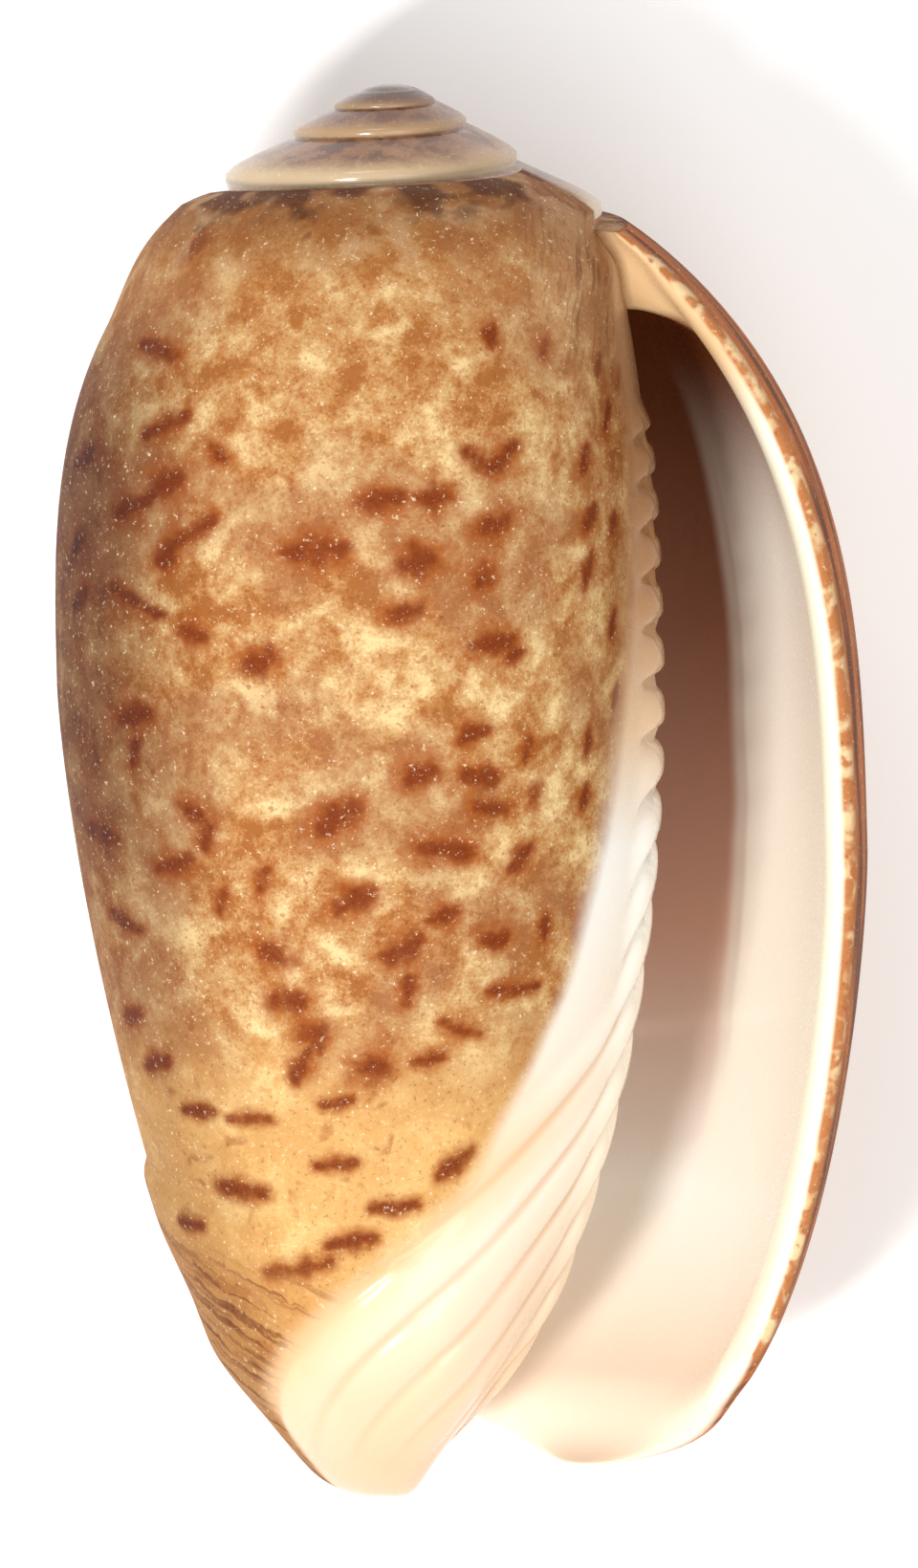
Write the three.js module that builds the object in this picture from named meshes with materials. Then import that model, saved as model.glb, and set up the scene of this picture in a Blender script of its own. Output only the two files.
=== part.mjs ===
// An olive shell, lying on its back with the aperture up.
// Millimetres and degrees. +Z is up, +Y points along the coil axis to the spire, and the outer
// lip is on +X. The origin is on the flat spot that the shell rests on, under the coil axis.
//
// The whole shell is one coiled wall. An angle counts along the coil: 0 is the +X side of the last
// whorl, LIP_ANGLE is the edge of the outer lip, and 360 less is the same side one whorl earlier.
// A depth is the distance below the apex along the coil axis.
import * as THREE from 'three';
import { ParametricGeometry } from 'three/addons/geometries/ParametricGeometry.js';
import { mergeGeometries, mergeVertices } from 'three/addons/utils/BufferGeometryUtils.js';

// Size and coil
const LENGTH = 50;
const WHORL_RATIO = 1.68;
const REST_DEPTH = 22.4;
const REST_HEIGHT = 13.7;

// A name that ends in BLEND is where one form turns into another: from the first value to the
// second.

// Angles round the aperture: the lip, where the space inside ends, and the front edge's turns
const LIP_ANGLE = 20;
const INNER_END_ANGLE = -200;
const NOTCH_ANGLE = -90;
const FLANGE_ANGLE = -35;
const LEFT_ANGLE = -180;
const FRONT_START = LIP_ANGLE - 360;

// Side of the last whorl at angle 0
const WIDEST_RADIUS = 16.06;
const WIDEST_DEPTH = 27.1;
const SHOULDER_RADIUS = 6.15;
const SHOULDER_DEPTH = 4;
const SHOULDER_BULGE = 0.95;
const BULGE_TOP_BLEND = [4.8, 5.6];
const BULGE_LOWER_BLEND = [6, 11];
const LEFT_BLEND = [0, LEFT_ANGLE];
const UPPER_POWER = 3.09;
const UPPER_FULLNESS = 0.8;
const LOWER_POWER = 1.45;
const LOWER_FULLNESS = 0.24;
const CLOSING = 4.5;
const TIP_TAPER = 0.3;
const TIP_BLEND = [44.5, 50.5];
const TIP_DOME = 0.2;
const TIP_DOME_REACH = 1.8;

// A low ledge round the lower end, where the growth lines begin
const LEDGE_HEIGHT = 0.3;
const LEDGE_SLOPE = 0.03;
const LEDGE_TOP_BLEND = [38.2, 39];
const LEDGE_LOWER_BLEND = [43.5, 40];
const LEDGE_FRONT_BLEND = [-300, -230];
const LEDGE_BACK_BLEND = [0, -100];

// Spire
const SUTURE_DEPTH = 5;
const SUTURE_RADIUS = 7.7;
const SUTURE_GROOVE = 0.14;
const COIL_START = 0.6;
const SPIRE_LEAN = 0.035;
const SPIRE_WALL_RADIUS = 12.6;
const SPIRE_WALL_DEPTH = 7.6;
const SPIRE_FULLNESS = 1.2;
const SPIRE_OFFSET = 0.03;
const SPIRE_LOWER_BLEND = [11, 8.8];
const SPIRE_BLEND = [FRONT_START + 30, FRONT_START - 10];
const SPIRE_LEAN_BLEND = [SUTURE_DEPTH, 2.5];
const SPIRE_WHORLS = 3;

// Inner lip, and the pillar that ends in the tip
const PILLAR_RADIUS = 8.8;
const PILLAR_WIDEST = 17;
const PILLAR_TOP_NARROWS = 1.3;
const PILLAR_POWER = 2.4;
const PILLAR_FULLNESS = 0.8;
const PILLAR_LEAN = 1.25;
const PILLAR_LEAN_BLEND = [42, LENGTH];
const PILLAR_BLEND = [-275, -345];
const PILLAR_TOP_BLEND = [SUTURE_DEPTH, SUTURE_DEPTH + 3];
const PILLAR_LEAN_REACH = 5;

// Ridges of the inner lip. The lower ones run on round the pillar's end.
const FIRST_RIDGE = 12.1;
const RIDGE_STEP = 1.5;
const RIDGE_STEP_GROWTH = 0.04;
const RIDGE_HEIGHT = 0.6;
const TOP_RIDGE_SHARE = 0.7;
const TOP_RIDGE_BLEND = [25, 15];
const LONG_RIDGE_SHARE = 0.3;
const RIDGE_MIDDLE = 0.65;
const RIDGE_SKEW = 0.5;
const GROOVE_POWER = 2.2;
const RIDGE_EDGE_ANGLE = -350;
const RIDGE_OUTER_BLEND = [RIDGE_EDGE_ANGLE, -336];
const RIDGE_INNER_BLEND = [-440, -370];
const RIDGE_TOP_BLEND = [-0.7, 0.3];
const RIDGE_TIP_BLEND = [49.5, 46];
const RIDGE_SLOPE = 0.096;
const RIDGE_LOW_BLEND = [22, 30];
const RIDGE_BEND = 0.8;
const RIDGE_BEND_BLEND = [RIDGE_EDGE_ANGLE, -330];
const LONG_RIDGE_BLEND = [29.5, 32];

// Wall, its front edge and its lip
const WALL = 1.45;
const THINNEST_SHARE = 0.45;
const CORNER_DROP = 3.1;
const CORNER_ROUND = 1.6;
const CORNER_BLEND = [LIP_ANGLE, LIP_ANGLE - 16];
const NOTCH_DEPTH = 47.35;
const NOTCH_BLEND = [INNER_END_ANGLE, NOTCH_ANGLE - 10];
const FLANGE_DEPTH = 49.65;
const FLANGE_FULLNESS = 1.15;
const LIP_CORNER_RISE = 4.6;
const LIP_CORNER_POWER = 2.4;
const FLARE = 1.5;
const FLARE_DEPTH_BLEND = [46.5, LENGTH];
const FLARE_ANGLE_BLEND = [-140, -60];
const SLOT_REACH = 3;
const OPEN_BLEND = [INNER_END_ANGLE, -150];
const INNER_TOP_BLEND = [INNER_END_ANGLE, -100];
const OUTER_ROUND = 0.5;
const INNER_ROUND = 2;
const EDGE_SHARE = 0.25;

const lerp = THREE.MathUtils.lerp;
const clamp01 = (x) => THREE.MathUtils.clamp(x, 0, 1);

// A smooth step from 0 at the first edge to 1 at the second
function ease(from, to, x) {
  const q = clamp01((x - from) / (to - from));
  return q * q * (3 - 2 * q);
}

// A quarter round: 0 at the edge, 1 from a reach on
const round = (distance, reach) => Math.sqrt(1 - (1 - clamp01(distance / reach)) ** 2);

const growth = (angle) => WHORL_RATIO ** (angle / 360);

// The coil grows in proportion about a point on its axis, a little above the apex
const sutureDepth = (angle) => (SUTURE_DEPTH + COIL_START) * growth(angle) - COIL_START;

// The side of a whorl, grown to angle 0: radius from the coil axis at a depth
function whorlSide(depth) {
  if (depth < WIDEST_DEPTH) {
    const up = clamp01((WIDEST_DEPTH - depth) / (WIDEST_DEPTH - SHOULDER_DEPTH));
    return lerp(SHOULDER_RADIUS, WIDEST_RADIUS, (1 - up ** UPPER_POWER) ** UPPER_FULLNESS);
  }
  const down = clamp01((depth - WIDEST_DEPTH) / (LENGTH - WIDEST_DEPTH));
  return WIDEST_RADIUS * (1 - down ** LOWER_POWER) ** LOWER_FULLNESS;
}

// A spire whorl has a flatter shoulder, which turns into a short upright wall. The spire stands
// a little towards the left.
function spireSide(angle, depth) {
  const q = clamp01((depth - SUTURE_DEPTH) / (SPIRE_WALL_DEPTH - SUTURE_DEPTH));
  const offset = 1 - SPIRE_OFFSET * Math.cos(THREE.MathUtils.degToRad(angle));
  return lerp(SUTURE_RADIUS, SPIRE_WALL_RADIUS, 1 - (1 - q) ** SPIRE_FULLNESS) * offset;
}

// A depth on a smaller whorl, grown to angle 0. It closes up further down, so that the coil
// ends at the tip at every angle.
function grownDepth(size, depth) {
  const grown = (depth + COIL_START) / size - COIL_START;
  const end = (LENGTH + COIL_START) / size - COIL_START;
  const closed = 1 + (grown / LENGTH) ** CLOSING - (grown / end) ** CLOSING;
  return grown / closed ** (1 / CLOSING);
}

// The radius of the pillar at angle -360, from the top of the aperture to the tip
function pillarSide(depth) {
  if (depth < PILLAR_WIDEST) {
    const up = (PILLAR_WIDEST - depth) / (PILLAR_WIDEST - SUTURE_DEPTH);
    return PILLAR_RADIUS - PILLAR_TOP_NARROWS * up * up;
  }
  const down = clamp01((depth - PILLAR_WIDEST) / (LENGTH - PILLAR_WIDEST));
  return PILLAR_RADIUS * (1 - down ** PILLAR_POWER) ** PILLAR_FULLNESS;
}

// The depth of each ridge of the inner lip, and which ridge lies at a depth
const ridgeDepth = (number) =>
  FIRST_RIDGE + RIDGE_STEP * number + RIDGE_STEP_GROWTH * number * number;

function ridgeNumber(depth) {
  const under = RIDGE_STEP ** 2 + 4 * RIDGE_STEP_GROWTH * (depth - FIRST_RIDGE);
  return (Math.sqrt(Math.max(under, 0)) - RIDGE_STEP) / (2 * RIDGE_STEP_GROWTH);
}

// A ridge is broad and round with a narrow groove on each side, and steeper towards the tip.
// The upper ones are short teeth of the inner lip, and the lower ones run far round.
function ridges(angle, depth) {
  const bend = RIDGE_BEND * ease(...RIDGE_BEND_BLEND, angle);
  const slant = RIDGE_SLOPE * (angle - RIDGE_EDGE_ANGLE) + bend;
  const start = depth - slant * ease(...RIDGE_LOW_BLEND, depth);
  const number = ridgeNumber(start);
  const long = LONG_RIDGE_SHARE * ease(...LONG_RIDGE_BLEND, start);
  const outward = lerp(1, long, ease(...RIDGE_OUTER_BLEND, angle));
  const inward = ease(...RIDGE_INNER_BLEND, angle);
  const ends = ease(...RIDGE_TOP_BLEND, number) * ease(...RIDGE_TIP_BLEND, depth);
  const turn = 2 * Math.PI * number;
  const skewed = turn + RIDGE_SKEW * (1 - Math.cos(turn));
  const groove = (0.5 - 0.5 * Math.cos(skewed)) ** GROOVE_POWER;
  const height = RIDGE_HEIGHT * lerp(1, TOP_RIDGE_SHARE, ease(...TOP_RIDGE_BLEND, depth));
  return height * (RIDGE_MIDDLE - groove) * outward * inward * ends;
}

// The ledge fades out towards the tip, and runs a little deeper over the front
function ledge(angle, depth) {
  const level = depth + (angle - LEFT_ANGLE) * LEDGE_SLOPE;
  const down = ease(...LEDGE_TOP_BLEND, level) * ease(...LEDGE_LOWER_BLEND, level);
  const across = ease(...LEDGE_FRONT_BLEND, angle) * ease(...LEDGE_BACK_BLEND, angle);
  return LEDGE_HEIGHT * down * across;
}

// The outside of the wall, and further back the pillar inside the aperture
function outside(angle, depth) {
  const size = growth(angle);
  const grown = grownDepth(size, depth);
  const left = ease(...LEFT_BLEND, angle);
  const bulge = ease(...BULGE_TOP_BLEND, grown) * (1 - ease(...BULGE_LOWER_BLEND, grown));
  const side = whorlSide(grown) + SHOULDER_BULGE * bulge * left;
  const spire = ease(...SPIRE_BLEND, angle) * ease(...SPIRE_LOWER_BLEND, grown);
  const tip = 1 - TIP_TAPER * ease(...TIP_BLEND, depth) * left;
  const coil = size * tip * lerp(side, spireSide(angle, grown), spire) + ledge(angle, depth);
  const inner = ease(...PILLAR_BLEND, angle) * ease(...PILLAR_TOP_BLEND, depth);
  const pillar = pillarSide(depth) * growth(Math.min(angle + 360, 0));
  const flare = FLARE * ease(...FLARE_DEPTH_BLEND, depth) * ease(...FLARE_ANGLE_BLEND, angle);
  return lerp(coil, pillar, inner) + flare + ridges(angle, depth);
}

// The suture: the top of each whorl lies in a fine groove against the whorl before it
const sutureRadius = (angle) =>
  outside(angle - 360, sutureDepth(angle)) - SUTURE_GROOVE * growth(angle);

// The front edge of the wall: from the tip up to the notch, down to the flange, up to the lip
function marginDepth(angle) {
  if (angle <= INNER_END_ANGLE) {
    return LENGTH;
  }
  if (angle < NOTCH_ANGLE) {
    return lerp(LENGTH, NOTCH_DEPTH, ease(...NOTCH_BLEND, angle));
  }
  if (angle < FLANGE_ANGLE) {
    const q = (angle - NOTCH_ANGLE) / (FLANGE_ANGLE - NOTCH_ANGLE);
    return lerp(NOTCH_DEPTH, FLANGE_DEPTH, Math.sin(Math.PI / 2 * q) ** FLANGE_FULLNESS);
  }
  const corner = (angle - FLANGE_ANGLE) / (LIP_ANGLE - FLANGE_ANGLE);
  return FLANGE_DEPTH - LIP_CORNER_RISE * corner ** LIP_CORNER_POWER;
}

// The top of the space inside the wall
const cornerDepth = (angle) =>
  sutureDepth(angle) + CORNER_DROP * growth(angle) * ease(...CORNER_BLEND, angle);

const lipDistance = (angle, radius) =>
  THREE.MathUtils.degToRad(LIP_ANGLE - angle) * radius;

// The inside of the wall before its edges are rounded
function hollow(angle, depth) {
  const outer = outside(angle, depth);
  const core = outside(angle - 360, depth);
  const room = Math.max(outer - core, 0);
  const share = Math.max(1 - WALL / Math.max(room, 0.01), THINNEST_SHARE);
  const opened = ease(...OPEN_BLEND, angle);
  const reach = SLOT_REACH * opened;
  const nearMargin = reach > 0 ? 1 - ease(0, reach, marginDepth(angle) - depth) : 0;
  const top = round(depth - cornerDepth(angle), CORNER_ROUND);
  return core + room * share * Math.max(opened, nearMargin) * top;
}

// Where the outside and the inside meet at the lip and the margin
function edgeRadius(angle, depth) {
  const outer = outside(angle, depth);
  return lerp(outer, hollow(angle, depth), EDGE_SHARE);
}

function outerWall(angle, depth) {
  const outer = outside(angle, depth);
  if (angle <= INNER_END_ANGLE) {
    return outer;
  }
  const full = round(lipDistance(angle, outer), OUTER_ROUND)
    * round(marginDepth(angle) - depth, OUTER_ROUND);
  return lerp(edgeRadius(angle, depth), outer, full);
}

function innerWall(angle, depth) {
  const inner = hollow(angle, depth);
  if (angle <= INNER_END_ANGLE) {
    return inner;
  }
  const reach = INNER_ROUND * ease(...OPEN_BLEND, angle);
  const full = round(lipDistance(angle, inner), INNER_ROUND)
    * round(marginDepth(angle) - depth, reach);
  return lerp(edgeRadius(angle, depth), inner, full);
}

// A place on the shell. The tip leans away from the aperture, and the back is cut off flat
// where the shell rests.
function place(angle, depth, radius, target) {
  const turn = THREE.MathUtils.degToRad(angle);
  const near = Math.exp(-((radius / PILLAR_LEAN_REACH) ** 2));
  const lean = PILLAR_LEAN * ease(...PILLAR_LEAN_BLEND, depth) * near;
  const x = radius * Math.cos(turn) - lean;
  const height = radius * Math.sin(turn) + REST_HEIGHT;
  const dome = TIP_DOME * Math.exp(-((radius / TIP_DOME_REACH) ** 2));
  const spire = SPIRE_LEAN * x * ease(...SPIRE_LEAN_BLEND, depth);
  const down = depth + spire + dome * ease(...PILLAR_LEAN_BLEND, depth);
  return target.set(x, REST_DEPTH - down, Math.max(height, 0));
}

// Facets: columns go round the coil, rows go down from the suture
const FRONT_COLUMNS = 18;
const BACK_COLUMNS = 26;
const DEEP_COLUMNS = 14;
const LIP_COLUMNS = 3;
const BAND_ROWS = 5;
const BODY_ROWS = 25;
const FINE = 3;
const RIDGE_COUNT = 15;
const ROWS_PER_RIDGE = 4;
const TOP_ROWS = 6;
const CAP_ROWS = 2;
const LIP_STRIP = 8;
const BAND_POWER = 1.6;
const ROW_POWER = 1.3;

// The front of the shell: from the aperture, leftwards over the side that faces up
const frontAngle = (u) => lerp(FRONT_START, INNER_END_ANGLE, u);

// The back of the shell up to the lip, where the columns lie closer together
function backAngle(u) {
  const plain = 1 - LIP_COLUMNS / BACK_COLUMNS;
  if (u <= plain) {
    return lerp(INNER_END_ANGLE, LIP_ANGLE - LIP_STRIP, u / plain);
  }
  return LIP_ANGLE - LIP_STRIP * ((1 - u) / (1 - plain)) ** 2;
}

// One whole turn: the front, then the back
function turnAngle(u) {
  const column = u * (FRONT_COLUMNS + BACK_COLUMNS);
  return column <= FRONT_COLUMNS
    ? frontAngle(column / FRONT_COLUMNS)
    : backAngle((column - FRONT_COLUMNS) / BACK_COLUMNS);
}

// Rows lie closer together next to the suture, on the ridges and towards the tip
const bandShare = (v) => v ** BAND_POWER;

function bodyDepth(top, end, v) {
  const row = v * FINE * BODY_ROWS;
  const ridged = RIDGE_COUNT * ROWS_PER_RIDGE;
  const first = ridgeDepth(-0.5);
  const last = ridgeDepth(RIDGE_COUNT - 0.5);
  if (row < TOP_ROWS) {
    return lerp(top, first, row / TOP_ROWS);
  }
  if (row < TOP_ROWS + ridged) {
    return ridgeDepth((row - TOP_ROWS) / ROWS_PER_RIDGE - 0.5);
  }
  const left = (FINE * BODY_ROWS - row) / (FINE * BODY_ROWS - TOP_ROWS - ridged);
  return lerp(end, last, left ** ROW_POWER);
}

// Fine rows close up to the coarse ones along the line where two sheets meet
const coarse = (v) => Math.round(v * BODY_ROWS) / BODY_ROWS;

const bandDepth = (angle, v) =>
  lerp(sutureDepth(angle), sutureDepth(angle + 360), bandShare(v));

// The top band of a whorl, which is all that shows of it on the spire
function bandPoint(angle, v, target) {
  const depth = bandDepth(angle, v);
  if (v === 0) {
    return place(angle, depth, sutureRadius(angle), target);
  }
  if (v === 1 && angle <= FRONT_START) {
    return place(angle, depth, sutureRadius(angle + 360), target);
  }
  return place(angle, depth, outerWall(angle, depth), target);
}

// The last whorl below its band
function bodyPoint(angle, v, target) {
  if (v === 0) {
    return bandPoint(angle, 1, target);
  }
  const depth = bodyDepth(sutureDepth(angle + 360), marginDepth(angle), v);
  return place(angle, depth, outerWall(angle, depth), target);
}

// The corner where the inside of the wall meets the pillar ends in the suture at the lip
const cornerRadius = (angle) =>
  angle === LIP_ANGLE ? sutureRadius(angle) : outside(angle - 360, cornerDepth(angle));

// The pillar, seen through the aperture behind the inner lip
function pillarPoint(angle, v, target) {
  const depth = bodyDepth(cornerDepth(angle), LENGTH, v);
  const radius = v === 0 ? cornerRadius(angle) : outside(angle - 360, depth);
  return place(angle - 360, depth, radius, target);
}

// The inside of the wall. Its top rows run out towards the inner end.
function innerPoint(angle, v, target) {
  const row = v * (BAND_ROWS + BODY_ROWS);
  const band = bandShare(Math.min(row / BAND_ROWS, 1));
  const shrink = ease(...INNER_TOP_BLEND, angle);
  const top = lerp(cornerDepth(angle), sutureDepth(angle + 360), shrink * band);
  const below = (row - BAND_ROWS) / BODY_ROWS;
  const depth = row <= BAND_ROWS ? top : bodyDepth(top, marginDepth(angle), below);
  const radius = v === 0 ? cornerRadius(angle) : innerWall(angle, depth);
  return place(angle, depth, radius, target);
}

// The first whorl starts at this angle, and a small dome closes it to the apex
const FIRST_ANGLE = FRONT_START - 360 * SPIRE_WHORLS;
const CAP_COLUMNS = FRONT_COLUMNS + BACK_COLUMNS + BAND_ROWS;

// The dome's rim follows the first suture once round, then steps back to its start
function capPoint(u, v, target) {
  const column = Math.round(u * CAP_COLUMNS) - FRONT_COLUMNS - BACK_COLUMNS;
  if (column <= 0) {
    const turn = 1 + column / (FRONT_COLUMNS + BACK_COLUMNS);
    bandPoint(turnAngle(turn) - 360 * SPIRE_WHORLS, 0, target);
  } else {
    bandPoint(FIRST_ANGLE, 1 - column / BAND_ROWS, target);
  }
  target.x *= v;
  target.z = REST_HEIGHT + (target.z - REST_HEIGHT) * v;
  target.y = REST_DEPTH + (target.y - REST_DEPTH) * v * v;
  return target;
}

const sheets = [];
for (let turn = 0; turn <= SPIRE_WHORLS; turn += 1) {
  const band = (u, v, target) => bandPoint(turnAngle(u) - 360 * turn, v, target);
  sheets.push(new ParametricGeometry(band, FRONT_COLUMNS + BACK_COLUMNS, BAND_ROWS));
}

const front = (u, v, target) => bodyPoint(frontAngle(u), u === 1 ? coarse(v) : v, target);
sheets.push(new ParametricGeometry(front, FRONT_COLUMNS, FINE * BODY_ROWS));

const back = (u, v, target) => bodyPoint(backAngle(u), v, target);
sheets.push(new ParametricGeometry(back, BACK_COLUMNS, BODY_ROWS));

const deepShare = DEEP_COLUMNS / BACK_COLUMNS;
const deep = (u, v, target) => pillarPoint(backAngle(u * deepShare), v, target);
sheets.push(new ParametricGeometry(deep, DEEP_COLUMNS, BODY_ROWS));

const near = (u, v, target) =>
  pillarPoint(backAngle(lerp(deepShare, 1, u)), u === 0 ? coarse(v) : v, target);
sheets.push(new ParametricGeometry(near, BACK_COLUMNS - DEEP_COLUMNS, FINE * BODY_ROWS));

const inner = (u, v, target) => innerPoint(backAngle(1 - u), v, target);
sheets.push(new ParametricGeometry(inner, BACK_COLUMNS, BAND_ROWS + BODY_ROWS));

sheets.push(new ParametricGeometry(capPoint, CAP_COLUMNS, CAP_ROWS));

// Joins the sheets along their shared edges, and drops facets that closed up to a line
function join(parts) {
  const whole = mergeGeometries(parts);
  whole.deleteAttribute('normal');
  whole.deleteAttribute('uv');
  const joined = mergeVertices(whole, 1e-4);
  const corners = joined.index.array;
  const kept = [];
  for (let i = 0; i < corners.length; i += 3) {
    const [a, b, c] = corners.subarray(i, i + 3);
    if (a !== b && b !== c && c !== a) {
      kept.push(a, b, c);
    }
  }
  joined.setIndex(kept);
  joined.computeVertexNormals();
  return joined;
}

const shell = new THREE.Mesh(
  join(sheets),
  new THREE.MeshStandardMaterial({ color: 0xdab083, roughness: 0.3, metalness: 0 }),
);
shell.name = 'shell';

const oliveShell = new THREE.Group();
oliveShell.add(shell);

export default oliveShell;
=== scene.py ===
# %% [markdown]
# An olive shell, lying on its back with its long aperture up. The animal adds to one wall that
# coils round an axis, so the whole shell is one piece with no joints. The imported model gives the
# size and the place, and everything here is built in the same frame: metres, +Z up, +Y along the
# coil to the spire, +X towards the outer lip.

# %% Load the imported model
import math

import bpy
import numpy as np
from mathutils import Matrix, Vector
from mathutils.bvhtree import BVHTree


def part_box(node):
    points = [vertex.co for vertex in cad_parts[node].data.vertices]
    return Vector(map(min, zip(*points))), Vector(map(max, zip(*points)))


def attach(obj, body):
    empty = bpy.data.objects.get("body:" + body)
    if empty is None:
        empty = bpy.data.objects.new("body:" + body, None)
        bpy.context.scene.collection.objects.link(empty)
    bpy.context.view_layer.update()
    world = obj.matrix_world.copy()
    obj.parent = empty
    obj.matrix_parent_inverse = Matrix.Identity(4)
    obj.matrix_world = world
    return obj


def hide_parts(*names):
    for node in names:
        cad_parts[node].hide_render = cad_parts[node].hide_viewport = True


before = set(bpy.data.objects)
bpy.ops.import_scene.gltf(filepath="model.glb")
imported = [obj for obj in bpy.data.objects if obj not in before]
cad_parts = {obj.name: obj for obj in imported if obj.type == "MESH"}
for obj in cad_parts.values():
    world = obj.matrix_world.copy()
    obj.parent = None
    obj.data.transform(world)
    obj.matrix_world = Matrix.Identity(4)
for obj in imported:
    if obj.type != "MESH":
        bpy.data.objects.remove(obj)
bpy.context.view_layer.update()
low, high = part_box("shell")
MM = 0.001
TIP_DOME = 0.2
LENGTH = (high.y - low.y) / MM - TIP_DOME
REST_DEPTH = high.y / MM
REST_HEIGHT = 13.7
print("the packed shell is", round(LENGTH, 2), "mm long")

# %% [markdown]
# A camera far away with a long lens draws the shell almost without perspective, as a product
# photograph does. The shell's tip points a little away from the camera, and the coil's axis is
# turned a little in the picture.

# %% Camera
PICTURE_HEIGHT = 55.44
AXIS_ROLL = math.radians(1.5)
SPIRE_TILT = math.radians(5)
CAMERA_DISTANCE = 1.2
SENSOR = 24
AIM_ACROSS = 1.718
AIM_BELOW_APEX = 24.8

across = Vector((1, 0, 0))
along = Vector((0, math.cos(SPIRE_TILT), -math.sin(SPIRE_TILT)))
towards = Vector((0, math.sin(SPIRE_TILT), math.cos(SPIRE_TILT)))
apex = Vector((0, REST_DEPTH, REST_HEIGHT)) * MM
aim = apex + across * AIM_ACROSS * MM - along * AIM_BELOW_APEX * MM
right = across * math.cos(AXIS_ROLL) - along * math.sin(AXIS_ROLL)
up = across * math.sin(AXIS_ROLL) + along * math.cos(AXIS_ROLL)

lens = bpy.data.cameras.new("camera")
lens.sensor_fit = "VERTICAL"
lens.sensor_height = SENSOR
lens.lens = SENSOR * CAMERA_DISTANCE / (PICTURE_HEIGHT * MM)
lens.clip_start = 0.01
camera = bpy.data.objects.new("camera", lens)
bpy.context.scene.collection.objects.link(camera)
camera.matrix_world = Matrix.Translation(aim + towards * CAMERA_DISTANCE) @ Matrix(
    (right, up, towards)
).transposed().to_4x4()
bpy.context.scene.camera = camera
print("lens", round(lens.lens), "mm at", CAMERA_DISTANCE, "m")

# %% [markdown]
# Both the shape and the finish are sums: the coil is a few formulas, and so is each colour. A
# node tree written node by node is hard to read, so this small class lets a socket be used in a
# Python expression. Each operator adds one Math node to the tree.


# %% Node trees as expressions
class Graph:
    """A node tree, and one way to add any node to it."""

    def __init__(self, tree):
        self.tree = tree

    def add(self, kind, settings=None, values=None, output=0):
        node = self.tree.nodes.new(kind)
        for name, value in (settings or {}).items():
            if name == "stops":
                self.colour_stops(node.color_ramp, value)
            else:
                setattr(node, name, value)
        for key, value in (values or {}).items():
            self.feed(node.inputs[key], value)
        return Wire(self, node.outputs[output])

    def feed(self, socket, value):
        if isinstance(value, Wire):
            self.tree.links.new(value.socket, socket)
        else:
            socket.default_value = value

    def colour_stops(self, ramp, stops):
        for index, (place, colour) in enumerate(stops):
            stop = ramp.elements[index] if index < 2 else ramp.elements.new(place)
            stop.position = place
            stop.color = (*colour, 1)

    def math(self, operation, *values):
        return self.add("ShaderNodeMath", {"operation": operation}, dict(enumerate(values)))


class Wire:
    """A node's output that can be used in a Python expression."""

    def __init__(self, graph, socket):
        self.graph = graph
        self.socket = socket

    def output(self, name):
        return Wire(self.graph, self.socket.node.outputs[name])

    def math(self, operation, *others):
        return self.graph.math(operation, self, *others)

    def __add__(self, other):
        return self.math("ADD", other)

    def __sub__(self, other):
        return self.math("SUBTRACT", other)

    def __mul__(self, other):
        return self.math("MULTIPLY", other)

    def __truediv__(self, other):
        return self.math("DIVIDE", other)

    def __pow__(self, other):
        return self.math("POWER", other)

    def __rsub__(self, other):
        return self.graph.math("SUBTRACT", other, self)

    def __rtruediv__(self, other):
        return self.graph.math("DIVIDE", other, self)

    def __rpow__(self, other):
        return self.graph.math("POWER", other, self)

    def __neg__(self):
        return 0 - self

    __radd__ = __add__
    __rmul__ = __mul__


def clamp01(x):
    return x.math("MAXIMUM", 0).math("MINIMUM", 1)


def lerp(a, b, share):
    return a + (b - a) * share


def ease(start, end, x):
    """A smooth step from 0 at the first edge to 1 at the second."""
    edges = {"Value": x, "From Min": start, "From Max": end}
    return x.graph.add("ShaderNodeMapRange", {"interpolation_type": "SMOOTHSTEP"}, edges)


# %% [markdown]
# The shell's sizes are inputs of every tree, in millimetres and degrees, so they can be changed
# on the modifier. An angle counts along the coil: 0 is the side of the last whorl that faces
# +X, 20 is the edge of the outer lip, and 360 less is the same side one whorl earlier. A depth
# is a distance below the apex.

# %% Sizes of the coil
SIZES = {
    "Length": LENGTH,
    "Whorl ratio": 1.68,
    "Widest radius": 16.06,
    "Widest depth": 27.1,
    "Shoulder radius": 6.15,
    "Shoulder depth": 4,
    "Shoulder bulge": 0.95,
    "Closing": 4.5,
    "Tip depth": 44.5,
    "Tip taper": 0.3,
    "Tip dome": TIP_DOME,
    "Ledge depth": 38.2,
    "Ledge height": 0.3,
    "Suture depth": 5,
    "Suture radius": 7.7,
    "Suture groove": 0.14,
    "Coil start": 0.6,
    "Spire lean": 0.035,
    "Spire wall radius": 12.6,
    "Spire wall depth": 7.6,
    "Spire offset": 0.03,
    "Pillar radius": 8.8,
    "Pillar widest": 17,
    "Pillar lean": 1.25,
    "First ridge": 12.1,
    "Ridge step": 1.5,
    "Ridge step growth": 0.04,
    "Ridge height": 0.6,
    "Ridge slope": 0.096,
    "Ridge bend": 0.8,
    "Wall": 1.45,
    "Corner drop": 3.1,
    "Notch depth": 47.35,
    "Flange depth": 49.65,
    "Lip corner rise": 4.6,
    "Flare": 1.5,
    "Slot reach": 3,
    "Outer round": 0.5,
    "Inner round": 2,
    "Rest depth": REST_DEPTH,
    "Rest height": REST_HEIGHT,
}
LIP_ANGLE = 20
FRONT_START = LIP_ANGLE - 360
INNER_END_ANGLE = -200
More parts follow.
